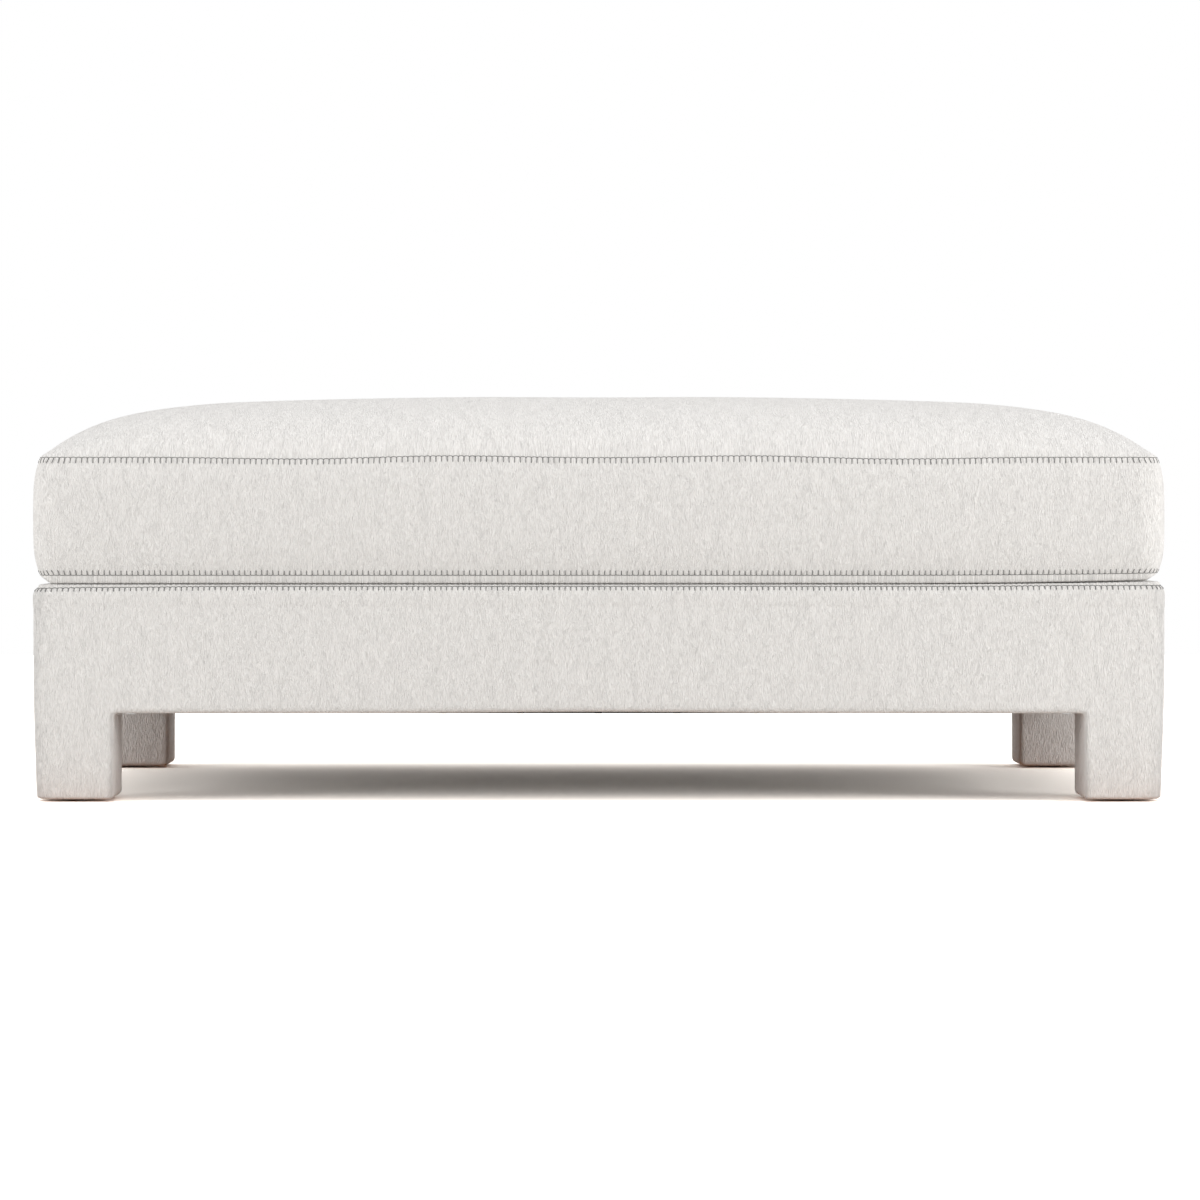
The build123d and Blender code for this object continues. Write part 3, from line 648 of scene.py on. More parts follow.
follow(cage, [cushion_top, cushion_side])
rest = place_of(cage)
held = np.concatenate((np.arange(cage_starts[0], cage_starts[1]),
                       np.arange(cage_starts[turned - 2], cage_starts[turned]),
                       np.arange(cage_starts[turned + 1], len(cage_points))))
moved = blow_up(cage, held)
reach = np.linalg.norm(moved, axis=1)
print("air moved the cushion by", round(reach.mean() / MM, 2), "mm, at most",
      round(reach.max() / MM, 2), "mm; the top by",
      round(moved[cage_starts[turned]:cage_starts[turned + 1], 2].mean() / MM, 2), "mm")
share = np.minimum(1, SWELL_CAP / np.maximum(reach, TINY))
from_zip = np.hypot(np.maximum(np.abs(rest[:, 0]) - ZIP_HALF, 0), rest[:, 2] - ZIP_HEIGHT)
still = np.clip(from_zip / STILL_REACH, 0, 1) ** 2
share *= np.where(rest[:, 1] > SEAM_HALF[1] - SEAM_CORNER, still, 1)
put(cage, rest + moved * share[:, None])
for made in (cushion_top, cushion_side):
    points = shaped(made)
    made.modifiers.clear()
    put(made, points)
bpy.data.objects.remove(cage)

# %% [markdown]
# Stitches gather the cloth: each holds it down, and it puffs a little between one and the
# next, so that the thread along the seam runs in small arches. Where a stitch dives into the
# cloth, it leaves a dimple. The seams aren't dead straight either: the top one wanders by a
# millimetre or two, and one end of the cushion sits a little high on the deck.

# %% Gathered seams
PUFF = 1.1 * MM
PUFF_REACH = 5.0 * MM
PINCH = 0.7 * MM
PINCH_REACH = 2.2 * MM
DIMPLE = 0.55 * MM
DIMPLE_REACH = 1.7 * MM
STITCH_DEPTH = 6.4 * MM
UNDER_SPREAD = 1.6


def puff_by(phase, reach, dimpled=True):
    """How far the cloth stands out, by its place between stitches and from the seam."""
    between = np.abs(np.sin(pi * phase)) ** 0.8
    at_end = DIMPLE * np.cos(pi * phase) ** 8 * dimpled
    return (PUFF * between * np.exp(-(reach / PUFF_REACH) ** 2)
            - PINCH * np.exp(-reach / PINCH_REACH)
            - at_end * np.exp(-((reach - STITCH_DEPTH) / DIMPLE_REACH) ** 2))


def leaning(out, reach, at_seam, beyond):
    """Directions in which the cloth puffs: at_seam (out, up) turns to beyond with reach."""
    share = min(reach / PUFF_REACH, 1)
    along, up = (one * (1 - share) + two * share for one, two in zip(at_seam, beyond))
    return np.column_stack((out * along, np.full(len(out), up))) / np.hypot(along, up)


def gather(made, starts, counts, reaches, at_seam, beyond, dimpled=True):
    """Push rows beside a seam in and out."""
    before = place_of(made)
    points = before.copy()
    for start, count, reach in zip(starts, counts, reaches):
        step = len(ring) // count
        lean = leaning(ring_out[::step], reach, at_seam, beyond)
        lift = puff_by(ring_phase[::step], reach, dimpled)
        points[start:start + count] += lean * lift[:, None]
    put(made, points)
    most = np.linalg.norm(points - before, axis=1).max()
    print(made.name, "gathered by up to", round(most / MM, 2), "mm")


# %% Gathers on the cushion's three pieces
TOP_LEAN, LOW_LEAN, SIDE_LEAN = (0.45, 0.9), (0.8, -0.6), (1.0, 0.0)
CROWN_LEAN, UNDER_LEAN = (0.1, 1.0), (0.3, -1.0)
near = len(NEAR_SEAM)
side_counts = [len(ring)] * near
gather(cushion_top, top_starts, top_counts, [*NEAR_SEAM, *HALVING], TOP_LEAN, CROWN_LEAN,
       dimpled=False)
gather(cushion_side, side_starts, side_counts, NEAR_SEAM, TOP_LEAN, SIDE_LEAN)
gather(cushion_side, side_starts[::-1], side_counts, NEAR_SEAM, LOW_LEAN, SIDE_LEAN)
gather(cushion_bottom, low_starts, low_counts[:len(TURN)], TURN * UNDER_SPREAD, LOW_LEAN,
       UNDER_LEAN, dimpled=False)

# %% Seams that wander
WANDER = np.array(((0, -0.4), (181, 1.8), (362, -2.0), (543, 0.0), (760, 0.0))) * MM
WANDER_REACH = 40 * MM
RAISED_END = 5.0 * MM
RAISED_FROM = 0.45
RAISED_POWER = 2.2
EDGE_LIFT = 1.4 * MM
EDGE_LIFT_REACH = 16 * MM
RAISED_HEIGHT = 45 * MM
RAISED_REACH = 30 * MM


def eased(value, line):
    """A smooth line through (place, rise) pairs."""
    places, rises = line.T
    index = np.clip(np.searchsorted(places, value, side="right") - 1, 0, len(places) - 2)
    share = (value - places[index]) / (places[index + 1] - places[index])
    ease = (1 - np.cos(pi * np.clip(share, 0, 1))) / 2
    return rises[index] + (rises[index + 1] - rises[index]) * ease


def raised_by(x):
    """How far the cushion's lower edge is lifted, from the middle to the raised end."""
    return RAISED_END * np.clip((x / SEAM_HALF[0] - RAISED_FROM) / (1 - RAISED_FROM),
                                0, 1) ** RAISED_POWER


def shift_cushion(made):
    """Let the top seam wander, and raise the lower edge at one end."""
    x, y, z = place_of(made).T
    inset = np.maximum(inset_of(np.column_stack((x, y))), 0)
    near_top = np.clip(1 - np.abs(z - TOP_SEAM) / (BOXING / 2), 0, 1)
    rise = eased(np.abs(x), WANDER) * near_top * np.exp(-(inset / WANDER_REACH) ** 2)
    low_share = np.clip(1 - (z - CUSHION_FLOOR) / RAISED_HEIGHT, 0, 1) ** 2
    rise += low_share * (raised_by(x) * np.exp(-(inset / RAISED_REACH) ** 2)
                         + EDGE_LIFT * np.exp(-(inset / EDGE_LIFT_REACH) ** 2))
    put(made, np.column_stack((x, y, z + rise)))


for made in cushion_pieces:
    shift_cushion(made)
print("one end of the cushion's lower edge is raised by", RAISED_END / MM, "mm")

# %% [markdown]
# The base's cover is stretched over foam and timber. Its form is a box with a rounded deck
# edge, two tunnels that leave the legs, and soft edges all over; the legs draw in a little
# towards the floor. Such a form is easy to write as a distance to its surface, and a blocky
# mesh is then drawn onto that surface.

# %% The base's form
lining_high = Vector(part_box("leg_lining_front_left")[1])
BASE_HALF = (cover_high.x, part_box("cover_rear")[1][1])
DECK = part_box("deck_cloth")[1][2]
FOOT = cover_low.z
UNDERSIDE = 107 * MM
OPENING_HALF = (-lining_high.x, -lining_high.y)
BASE_CORNER = 18 * MM
DECK_EDGE = 12 * MM
PANEL_EDGE = 7 * MM
OPENING_CORNER = 5 * MM
FOOT_EDGE = 4 * MM
RETURN_WIDTH = 45 * MM
BAND_FOOT = 236 * MM
LEG_TAPER = 4.2 * MM
TAPER_FROM = 150 * MM
TAPER_POWER = 1.6
RAIL_ARCH = 1.8 * MM
RAIL_ARCH_REACH = 190 * MM
LEAST_SLOPE = 0.25
print("base", [round(2 * half, 3) for half in BASE_HALF], "m, deck at", round(DECK, 3), "m")

# %% Distance from the base's surface


def round_max(a, b, radius):
    """The larger of two distances, with a rounded edge where both surfaces meet."""
    outside = np.hypot(np.maximum(a + radius, 0), np.maximum(b + radius, 0)) - radius
    return np.where(np.maximum(a, b) < -radius, np.maximum(a, b), outside)


def base_distance(points):
    """Distance from the base's surface, negative inside."""
    x, y, z = np.abs(points[:, 0]), np.abs(points[:, 1]), points[:, 2]
    taper = LEG_TAPER * np.clip(1 - z / TAPER_FROM, 0, 1) ** TAPER_POWER
    plan = round_max(x - BASE_HALF[0] + taper, y - BASE_HALF[1] + taper, BASE_CORNER)
    body = round_max(plan, z - DECK, DECK_EDGE)
    body = round_max(body, FOOT - z, FOOT_EDGE)
    under = UNDERSIDE + RAIL_ARCH * np.exp(-(x / RAIL_ARCH_REACH) ** 2)
    for across, half, top in ((x, OPENING_HALF[0], under), (y, OPENING_HALF[1], UNDERSIDE)):
        tunnel = round_max(across - half, z - top, OPENING_CORNER)
        body = round_max(body, -tunnel, PANEL_EDGE)
    return body


def slope_of(points, nudge=0.02 * MM):
    """The direction in which the distance from the base's surface grows."""
    return np.stack([base_distance(points + nudge * axis)
                     - base_distance(points - nudge * axis)
                     for axis in np.eye(3)], axis=1) / (2 * nudge)


def drawn(points, past, steps):
    """Move points against the slope, until they are no longer past the surface."""
    for _ in range(steps):
        slope = slope_of(points)
        size = np.maximum((slope**2).sum(1), LEAST_SLOPE)
        points = points - slope * (past(points) / size)[:, None]
    return points


print("slope on the deck", slope_of(np.array([[0, 0, DECK]]))[0].round(2))

# %% [markdown]
# Lines of a grid lie close together at each edge of the form and about 14 mm apart
# elsewhere. Each cell that is inside keeps the sides that face out. Under the rails the cloth
# ends in a return, where it is stapled, so the middle of the underside stays open.

# %% Grid lines of the base's cover
EDGE_STEPS = np.array((0.0, 1.1, 2.6, 4.6, 7.0, 10.5)) * MM
PLAIN_STEP = 14 * MM


def lines(low, high, edges):
    """Grid lines between two ends: close together at the edges, even elsewhere."""
    marks = {round(low, 6), round(high, 6)}
    for edge in edges:
        for step in EDGE_STEPS:
            marks |= {round(place, 6) for place in (edge - step, edge + step)
                      if low <= place <= high}
    marks = sorted(marks)
    filled = [marks[0]]
    for start, end in zip(marks, marks[1:]):
        parts = max(1, round((end - start) / PLAIN_STEP))
        filled += [start + (end - start) * part / parts for part in range(1, parts + 1)]
    return np.array(filled)


x_lines, y_lines = (lines(-half, half, (-half, -hole, hole, half))
                    for half, hole in zip(BASE_HALF, OPENING_HALF))
z_lines = lines(FOOT, BAND_FOOT, [FOOT, UNDERSIDE])
print("grid lines", len(x_lines), len(y_lines), len(z_lines))

# %% The cover below the stitched band


def blocky_shell():
    """Points, outward quads and their facing."""
    x_mid, y_mid, z_mid = ((line[1:] + line[:-1]) / 2 for line in (x_lines, y_lines, z_lines))
    hollow = ((z_mid < UNDERSIDE)[None, None, :]
              & ((np.abs(x_mid) < OPENING_HALF[0])[:, None, None]
                 | (np.abs(y_mid) < OPENING_HALF[1])[None, :, None]))
    solid = np.pad(~hollow, 1)
    points, index, faces, facing = [], {}, [], []

    def corner(key):
        if key not in index:
            index[key] = len(points)
            points.append((x_lines[key[0]], y_lines[key[1]], z_lines[key[2]]))
        return index[key]

    sides = (((1, 0, 0), ((1, 0, 0), (1, 1, 0), (1, 1, 1), (1, 0, 1))),
             ((-1, 0, 0), ((0, 0, 0), (0, 0, 1), (0, 1, 1), (0, 1, 0))),
             ((0, 1, 0), ((0, 1, 0), (0, 1, 1), (1, 1, 1), (1, 1, 0))),
             ((0, -1, 0), ((0, 0, 0), (1, 0, 0), (1, 0, 1), (0, 0, 1))),
             ((0, 0, -1), ((0, 0, 0), (0, 1, 0), (1, 1, 0), (1, 0, 0))))
    for out, quad in sides:
        beyond = np.roll(solid, [-step for step in out], axis=(0, 1, 2))
        exposed = (solid & ~beyond)[1:-1, 1:-1, 1:-1]
        for i, j, k in zip(*np.nonzero(exposed)):
            middle = (abs(x_mid[i]) < BASE_HALF[0] - RETURN_WIDTH
                      and abs(y_mid[j]) < BASE_HALF[1] - RETURN_WIDTH)
            if out[2] and middle and z_mid[k] > UNDERSIDE:
                continue
            faces.append([corner((i + a, j + b, k + c)) for a, b, c in quad])
            facing.append(out)
    return np.array(points), faces, np.array(facing)


# %% The blocky mesh, drawn onto the form
blocky, blocky_faces, facing = blocky_shell()
where = blocky[np.concatenate(blocky_faces)]
out = np.abs(np.repeat(facing, 4, axis=0))
base_map = np.where(out[:, :1] > 0, where[:, 1:], where[:, (0, 2)])
base_map = np.where(out[:, 2:] > 0, where[:, :2], base_map)
base_cover = piece("base_cover", drawn(blocky, base_distance, steps=6), blocky_faces,
                   base_map, chenille)
print("base below the band", len(blocky_faces), "faces")

# %% [markdown]
# The band along the base's top edge carries the third stitched seam, so it gets the same
# close columns as the cushion. It runs from the rounded deck edge, just below the deck, down
# to the plain cover, and a last row is tucked in behind it. The seam has been sewn a little
# lower at one end and higher at the other. Its cloth map carries on from the plain cover's.

# %% The stitched band of the base
BASE_STITCHES = (200, 110)
DECK_SEAM_DROP = 2 * MM
SEAM_LINE = np.array(((-685, -2.4), (-610, -1.4), (-430, 0.0), (430, 0.0), (570, 1.0),
                      (685, 1.2))) * MM
TUCK = 0.6 * MM
TUCK_DROP = 4 * TUCK
base_ring, base_out = outline(*BASE_HALF, BASE_CORNER, *BASE_STITCHES)[:2]
base_phase = np.arange(len(base_ring)) / COLUMNS_PER_STITCH
seam_angle = float(np.arcsin((DECK_EDGE - DECK_SEAM_DROP) / DECK_EDGE))
edge_length = DECK_EDGE * seam_angle
print("base seam", round(np.degrees(seam_angle), 1), "degrees up the deck's rounded edge")


def seam_shift(points, share):
    """Move points up or down with the base's seam line, by a share of its shift."""
    return points + np.column_stack((np.zeros((len(points), 2)),
                                     share * eased(points[:, 0], SEAM_LINE)))


def band_row(reach):
    """A row of the band, by its distance from the seam down the cloth, and its normals."""
    angle = max(seam_angle - reach / DECK_EDGE, 0)
    inset = DECK_EDGE * (1 - cos(angle))
    height = DECK - DECK_EDGE * (1 - sin(angle)) - max(reach - edge_length, 0)
    normal = np.column_stack((base_out * cos(angle), np.full(len(base_out), sin(angle))))
    row = level(base_ring - base_out * inset, height)
    row += normal * puff_by(base_phase, reach)[:, None]
    share = np.clip((height - BAND_FOOT) / (DECK - DECK_SEAM_DROP - BAND_FOOT), 0, 1)
    return seam_shift(row, share), normal


# %% The band's cloth


def side_runs(half_x, half_y, radius, stitches):
    """Each quad's two runs along its own side, as the plain cover's map counts them."""
    arc, here, after = radius * pi / 4, [], []
    for index, way in enumerate((1, 1, -1, -1)):
        straight = (half_x if index % 2 == 0 else half_y) - radius
        marks = np.linspace(-1, 1, stitches[index % 2] * COLUMNS_PER_STITCH + 1)
        marks *= straight + arc
        past = np.maximum(np.abs(marks) - straight, 0)
        plain = np.minimum(np.abs(marks), straight) + past * radius / arc
        marks = way * np.sign(marks) * plain
        here.append(marks[:-1])
        after.append(marks[1:])
    return np.concatenate(here), np.concatenate(after)


band_reaches = np.array([*NEAR_SEAM, edge_length, edge_length + DECK - DECK_EDGE - BAND_FOOT])
band_rows = [band_row(reach)[0] for reach in band_reaches]
band_rows.append(level(base_ring - base_out * TUCK, BAND_FOOT - TUCK_DROP))
band_points, band_starts = stack(band_rows)
band_faces = ring_faces(band_starts, [len(base_ring)] * len(band_rows), False)
band_heights = DECK - DECK_EDGE + edge_length - np.append(band_reaches,
                                                          band_reaches[-1] + TUCK_DROP)
base_band = piece("base_band", band_points, band_faces,
                  wall_map(*side_runs(*BASE_HALF, BASE_CORNER, BASE_STITCHES), band_heights),
                  chenille)
tucked = np.arange(len(band_faces)) >= len(band_faces) - len(base_ring)
base_band.data.polygons.foreach_set("use_smooth", ~tucked)
print("base band", len(band_faces), "faces")

# %% The deck cloth
DECK_INSETS = np.array((0.0, 0.7, 1.6, 2.8, 4.4, 6.6)) * MM
DECK_HALVING = np.array((9.0, 10.5, 12.0)) * MM
DECK_LIP = 0.7 * MM
DECK_LIP_PLACE = 4.0 * MM
DECK_LIP_WIDTH = 3.2 * MM
DECK_SWELL = 0.75
DECK_SWELL_REACH = 22 * MM
SHIFT_REACH = 1.6 * MM
seam_inset = DECK_EDGE * (1 - cos(seam_angle))


def deck_height(plan):
    """The deck: flat, with its rounded edge, and a lip where the cushion presses it out."""
    beyond = round_max(np.abs(plan[:, 0]) - BASE_HALF[0], np.abs(plan[:, 1]) - BASE_HALF[1],
                       BASE_CORNER)
    turn_in = np.clip(DECK_EDGE + beyond, 0, DECK_EDGE)
    inside = np.maximum(-beyond - seam_inset, 0)
    lip = DECK_LIP * np.exp(-((inside - DECK_LIP_PLACE) / DECK_LIP_WIDTH) ** 2)
    swell = DECK_SWELL * raised_by(plan[:, 0]) * np.exp(-(inside / DECK_SWELL_REACH) ** 2)
    return (DECK - DECK_EDGE + np.sqrt(DECK_EDGE**2 - turn_in**2)
            + (lip + swell) * np.clip(inside / (DECK_LIP_PLACE / 2), 0, 1))


deck_plan, deck_faces, deck_starts, deck_counts = panel_plan(
    base_ring, base_out, seam_inset + DECK_INSETS, seam_inset + DECK_HALVING,
    tuple(stitches // 2 for stitches in BASE_STITCHES), True)
deck_points = level(deck_plan, deck_height(deck_plan))
seam_normal = np.column_stack((base_out * cos(seam_angle),
                               np.full(len(base_out), sin(seam_angle))))
for start, count, reach in zip(deck_starts, deck_counts, DECK_INSETS):
    row = slice(start, start + count)
    deck_points[row] = seam_shift(deck_points[row], np.exp(-(reach / SHIFT_REACH) ** 2))
    deck_points[row] += seam_normal * puff_by(base_phase, reach, False)[:, None]
deck_cloth = piece("deck_top_cloth", deck_points, deck_faces,
                   corner_map(deck_faces, deck_plan), chenille)
print("deck cloth", len(deck_faces), "faces")

# %% [markdown]
# Threads are round tubes laid on the cloth. One tube helper takes the thread's middle line
# and the direction away from the cloth at each point.

# %% Tubes


def tubes(name, paths, away, radius, sides, closed, finish):
    """Round tubes: paths and away are arrays of path, point and xyz."""
    count, length = paths.shape[:2]
    if closed:
        ahead = np.roll(paths, -1, 1) - np.roll(paths, 1, 1)
    else:
        ahead = np.gradient(paths, axis=1)
    ahead /= np.linalg.norm(ahead, axis=2, keepdims=True)
    side = np.cross(ahead, away)
    side /= np.linalg.norm(side, axis=2, keepdims=True)
    up = np.cross(side, ahead)
    angle = 2 * pi * np.arange(sides) / sides
    radius = np.broadcast_to(radius, paths.shape[:2])[:, :, None, None]
    loops = (paths[:, :, None] + radius * (np.cos(angle)[:, None] * up[:, :, None]
                                           + np.sin(angle)[:, None] * side[:, :, None]))
    faces = []
    for path in range(count):
        base = path * length * sides
        for step in range(length if closed else length - 1):
            one, two = base + step * sides, base + (step + 1) % length * sides
            for place in range(sides):
                after = (place + 1) % sides
                faces.append([one + place, one + after, two + after, two + place])
        if not closed:
            faces.append([base + place for place in range(sides)][::-1])
            faces.append([base + (length - 1) * sides + place for place in range(sides)])
    return piece(name, loops.reshape(-1, 3), faces, None, finish)


# %% [markdown]
# A blanket stitch is a thread that runs along the edge and, at each stitch, a straight tick
# across the cloth that ends in a needle hole. The tick is pulled tight over the edge thread,
# which knots a little there. By hand, no two ticks are quite alike in length and slant.

# %% Blanket stitches
TICK_PROFILE = np.array((0.85, 1.0, 1.0, 0.98, 1.0, 1.1, 1.12, 0.8))
TICK_LIFT = np.array((0.30, 0.45, 0.42, 0.40, 0.38, 0.34, 0.12, -0.45))
TICK_SIDES = 6
LEAN = 0.2
FAN_STITCHES = 1.6
KNOT = 0.4
EDGE_LIES = 0.35
TICK_VARIES = 0.08
chance = np.random.RandomState(7)


def fanned(counts, fan):
    """How far the free ends of ticks lean towards the nearest corner, in columns."""
    leans = []
    for count in counts * 2:
        before, after = np.arange(count), count - np.arange(count)
        leans.append(fan * (after * np.exp(-after / FAN_STITCHES)
                            - before * np.exp(-before / FAN_STITCHES)))
    return np.concatenate(leans)


# %% Ticks and their edge thread


def blanket_stitch(name, rows, away, counts, tick, depth, edge_thread, fan):
    """Ticks across the cloth from the seam, and the thread that joins them along it."""
    rows, away = np.array(rows), np.array(away)
    stitches = 2 * sum(counts)
    lengths = depth * (1 + TICK_VARIES * chance.uniform(-1, 1, stitches))
    lean = fanned(counts, fan) + LEAN * chance.uniform(-1, 1, stitches)
    steps = np.linspace(0, 1, len(TICK_PROFILE))
    reach = steps[None] * lengths[:, None]
    row = np.clip(np.searchsorted(NEAR_SEAM, reach, side="right") - 1, 0, len(NEAR_SEAM) - 2)
    share = ((reach - NEAR_SEAM[row]) / (NEAR_SEAM[row + 1] - NEAR_SEAM[row]))[..., None]
    column = np.arange(stitches)[:, None] * COLUMNS_PER_STITCH + lean[:, None] * steps**2
    first = np.floor(column).astype(int)
    part = (column - first)[..., None]
    columns = rows.shape[1]

    def looked_up(table):
        one = (table[row, first % columns] * (1 - part)
               + table[row, (first + 1) % columns] * part)
        two = (table[row + 1, first % columns] * (1 - part)
               + table[row + 1, (first + 1) % columns] * part)
        return one * (1 - share) + two * share

    normal = looked_up(away)
    normal /= np.linalg.norm(normal, axis=2, keepdims=True)
    paths = looked_up(rows) + normal * (tick * TICK_LIFT)[None, :, None]
    ticks = tubes(name + "_ticks", paths, normal, tick / 2 * TICK_PROFILE[None], TICK_SIDES,
                  False, grey_cotton)
    phase = np.arange(columns) / COLUMNS_PER_STITCH
    knotted = edge_thread / 2 * (1 + KNOT * np.cos(pi * phase) ** 6)
    edge = rows[0] + away[0] * edge_thread * EDGE_LIES
    along = tubes(name + "_edge", edge[None], away[:1], knotted[None], TICK_SIDES, True,
                  grey_cotton)
    return [ticks, along]


# %% Stitches on the three seams
SEAM_SPREAD = 3


def rows_by_seam(starts):
    """The boxing's rows beside a seam, from the seam on."""
    points = place_of(cushion_side)
    return [points[start:start + len(ring)] for start in starts[:near]]


def away_from_seam(lean):
    """Directions away from the boxing beside a seam; at the seam itself they lean."""
    return [leaning(ring_out, reach * SEAM_SPREAD, lean, SIDE_LEAN) for reach in NEAR_SEAM]


stitch_top = blanket_stitch("stitch_top", rows_by_seam(side_starts),
                            away_from_seam((1.0, 0.4)), CUSHION_STITCHES, tick=1.0 * MM,
                            depth=7.0 * MM, edge_thread=0.75 * MM, fan=2.2)
stitch_low = blanket_stitch("stitch_low", rows_by_seam(side_starts[::-1]),
                            away_from_seam((1.0, -0.4)), CUSHION_STITCHES, tick=0.95 * MM,
                            depth=6.2 * MM, edge_thread=0.7 * MM, fan=2.6)
stitch_base = blanket_stitch("stitch_base", band_rows[:near],
                             [band_row(reach)[1] for reach in NEAR_SEAM], BASE_STITCHES,
                             tick=1.1 * MM, depth=6.0 * MM, edge_thread=0.9 * MM, fan=0.9)
print("stitches", 2 * sum(CUSHION_STITCHES), "on each cushion seam,",
      2 * sum(BASE_STITCHES), "on the base")

# %% [markdown]
# The zip is a coil zip: a nylon line wound into small loops along the edge of each woven
# tape. The slider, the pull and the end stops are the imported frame's own. Topstitching holds
# the folded edges of the slot down on the tapes, and a bar tack, a dense little zigzag,
# closes the slot at each end.

# %% Finishes of the zip
TAPE_RIB = 0.88 * MM
NYLON_CLOUD = 3.85 * MM
NYLON_SPREAD = 0.2


def woven_tape():
    """Polyester tape: slanted ribs of its weave, drawn 0.9 mm apart so that they show."""
    made, tree = material("woven_polyester_tape")
    place = node(tree, "TexCoord").outputs["Object"]
    turned = node(tree, "Mapping", Vector=place,
                  Rotation=(0, radians(45), 0)).outputs["Vector"]
    ribs = node(tree, "TexWave", {"bands_direction": "X"}, Vector=turned,
                Scale=STRAIGHT_WAVE / TAPE_RIB, Distortion=1.0, Detail=1.0).outputs["Fac"]
    tone = node(tree, "ValToRGB", stops=((0.1, "#c9c5bc"), (0.9, "#dedbd3")),
                Fac=ribs).outputs["Color"]
    return finished(made, tone, ribs, 0.5, 0.15 * MM, Roughness=0.75, Sheen_Weight=0.1)


def drawn_nylon(name, dark, light, roughness):
    """Nylon, dyed in the mass: a slight gloss that varies a little, as moulding leaves it."""
    made, tree = material(name)
    place = node(tree, "TexCoord").outputs["Object"]
    cloud = node(tree, "TexNoise", Vector=place, Scale=1 / NYLON_CLOUD,
                 Detail=3.0).outputs["Fac"]
    tone = node(tree, "ValToRGB", stops=((0.3, dark), (0.7, light)),
                Fac=cloud).outputs["Color"]
    worn = node(tree, "Math", {"operation": "MULTIPLY_ADD"}, _0=cloud,
                _1=NYLON_SPREAD, _2=roughness - NYLON_SPREAD / 2).outputs[0]
    return finished(made, tone, cloud, 0.3, 0.05 * MM, Roughness=worn, IOR=1.53)


tape_weave = woven_tape()
coil_nylon = drawn_nylon("drawn_nylon_coil", "#dcd8cf", "#e8e5de", 0.4)
glide_nylon = drawn_nylon("moulded_black_nylon", "#0c0c0d", "#161617", 0.55)

# %% The zip's tapes, coils and sewing
COIL_PITCH = 1.5 * MM
COIL_WIRE = 0.35 * MM
COIL_MIDDLE = 1.6 * MM
COIL_LOOP = (0.65 * MM, 0.5 * MM)
LOOP_POINTS = 8
THREAD_SIDES = 5
TAPE_MARKS = 231
TAPE_INNER = 1.0 * MM
TAPE_OUTER = tape_high.z - ZIP_HEIGHT
chain_low, chain_high = (Vector(corner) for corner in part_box("zipper_chain"))
coil_y = (chain_low.y + chain_high.y) / 2
tape_y = (tape_low.y + tape_high.y) / 2
zip_tapes, zip_coils = [], []
for name, way in (("upper", 1), ("lower", -1)):
    marks = level(np.column_stack((np.linspace(-ZIP_HALF, ZIP_HALF, TAPE_MARKS),
                                   np.full(TAPE_MARKS, tape_y))), ZIP_HEIGHT)
    points, starts = stack([marks + (0, 0, way * edge) for edge in
                            (TAPE_INNER, (TAPE_INNER + TAPE_OUTER) / 2, TAPE_OUTER)])
    quads = [[start + i, after + i, after + i + 1, start + i + 1]
             for start, after in zip(starts, starts[1:]) for i in range(TAPE_MARKS - 1)]
    zip_tapes.append(piece("zip_tape_" + name, points,
                           quads if way > 0 else [quad[::-1] for quad in quads],
                           None, tape_weave))
    turns = round((chain_high.x - chain_low.x) / COIL_PITCH)
    angle = np.linspace(0, 2 * pi * turns, turns * LOOP_POINTS + 1)
    line = np.column_stack((np.linspace(chain_low.x + COIL_WIRE, chain_high.x - COIL_WIRE,
                                        len(angle)),
                            coil_y + COIL_LOOP[0] * np.cos(angle),
                            ZIP_HEIGHT + way * (COIL_MIDDLE + COIL_LOOP[1] * np.sin(angle))))
    outward = np.column_stack((np.zeros(len(angle)), np.cos(angle), way * np.sin(angle)))
    zip_coils.append(tubes("zip_coil_" + name, line[None], outward[None], COIL_WIRE,
                           THREAD_SIDES, False, coil_nylon))
print("zip", turns, "loops on each side")

# %% The zip's sewing
STITCH_RUN = 4.0 * MM
STITCH_SPAN = 3.3 * MM
STITCH_LEAD = 2 * MM
STITCH_MARKS = np.array((0, 0.15, 0.85, 1))
BESIDE_SLOT = 2.8 * MM
SEWING = 0.45 * MM
STITCH_LIES = SEWING * np.array((-0.5, 0.3, 0.3, -0.5))
starts = np.arange(-ZIP_HALF - STITCH_LEAD, ZIP_HALF, STITCH_RUN)
sewn = []
for way in (1, -1):
    height = ZIP_HEIGHT + way * (SLOT_HALF + BESIDE_SLOT)
    skin = SEAM_HALF[1] + bow(TOP_SEAM - height)
    for start in starts:
        along = start + STITCH_SPAN * STITCH_MARKS
        sewn.append(level(np.column_stack((along, skin + STITCH_LIES)), height))
sewn = np.array(sewn)
topstitch = tubes("zip_topstitch", sewn, np.full(sewn.shape, (0.0, 1.0, 0.0)), SEWING / 2,
                  THREAD_SIDES, False, sewing_thread)
TACK_TURNS = 9
TACK_WIDTH = (0.2 * MM, 2.6 * MM)
TACK_INSIDE = 1.5 * MM
TACK_BEYOND = 1.2 * MM
TACK_LIES, TACK_RADIUS = 0.2 * SEWING, 0.7 * SEWING
tack_skin = SEAM_HALF[1] + BULGE
zigzag = np.arange(2 * TACK_TURNS + 1)
tacks = []
for end in (-1, 1):
    across = np.where(zigzag % 2 == 0, *TACK_WIDTH)
    tall = np.linspace(-1, 1, len(zigzag)) * (SLOT_HALF + TACK_BEYOND)
    tacks.append(np.column_stack((end * (ZIP_HALF - TACK_INSIDE + across),
                                  np.full(len(zigzag), tack_skin + TACK_LIES),
                                  ZIP_HEIGHT + tall)))
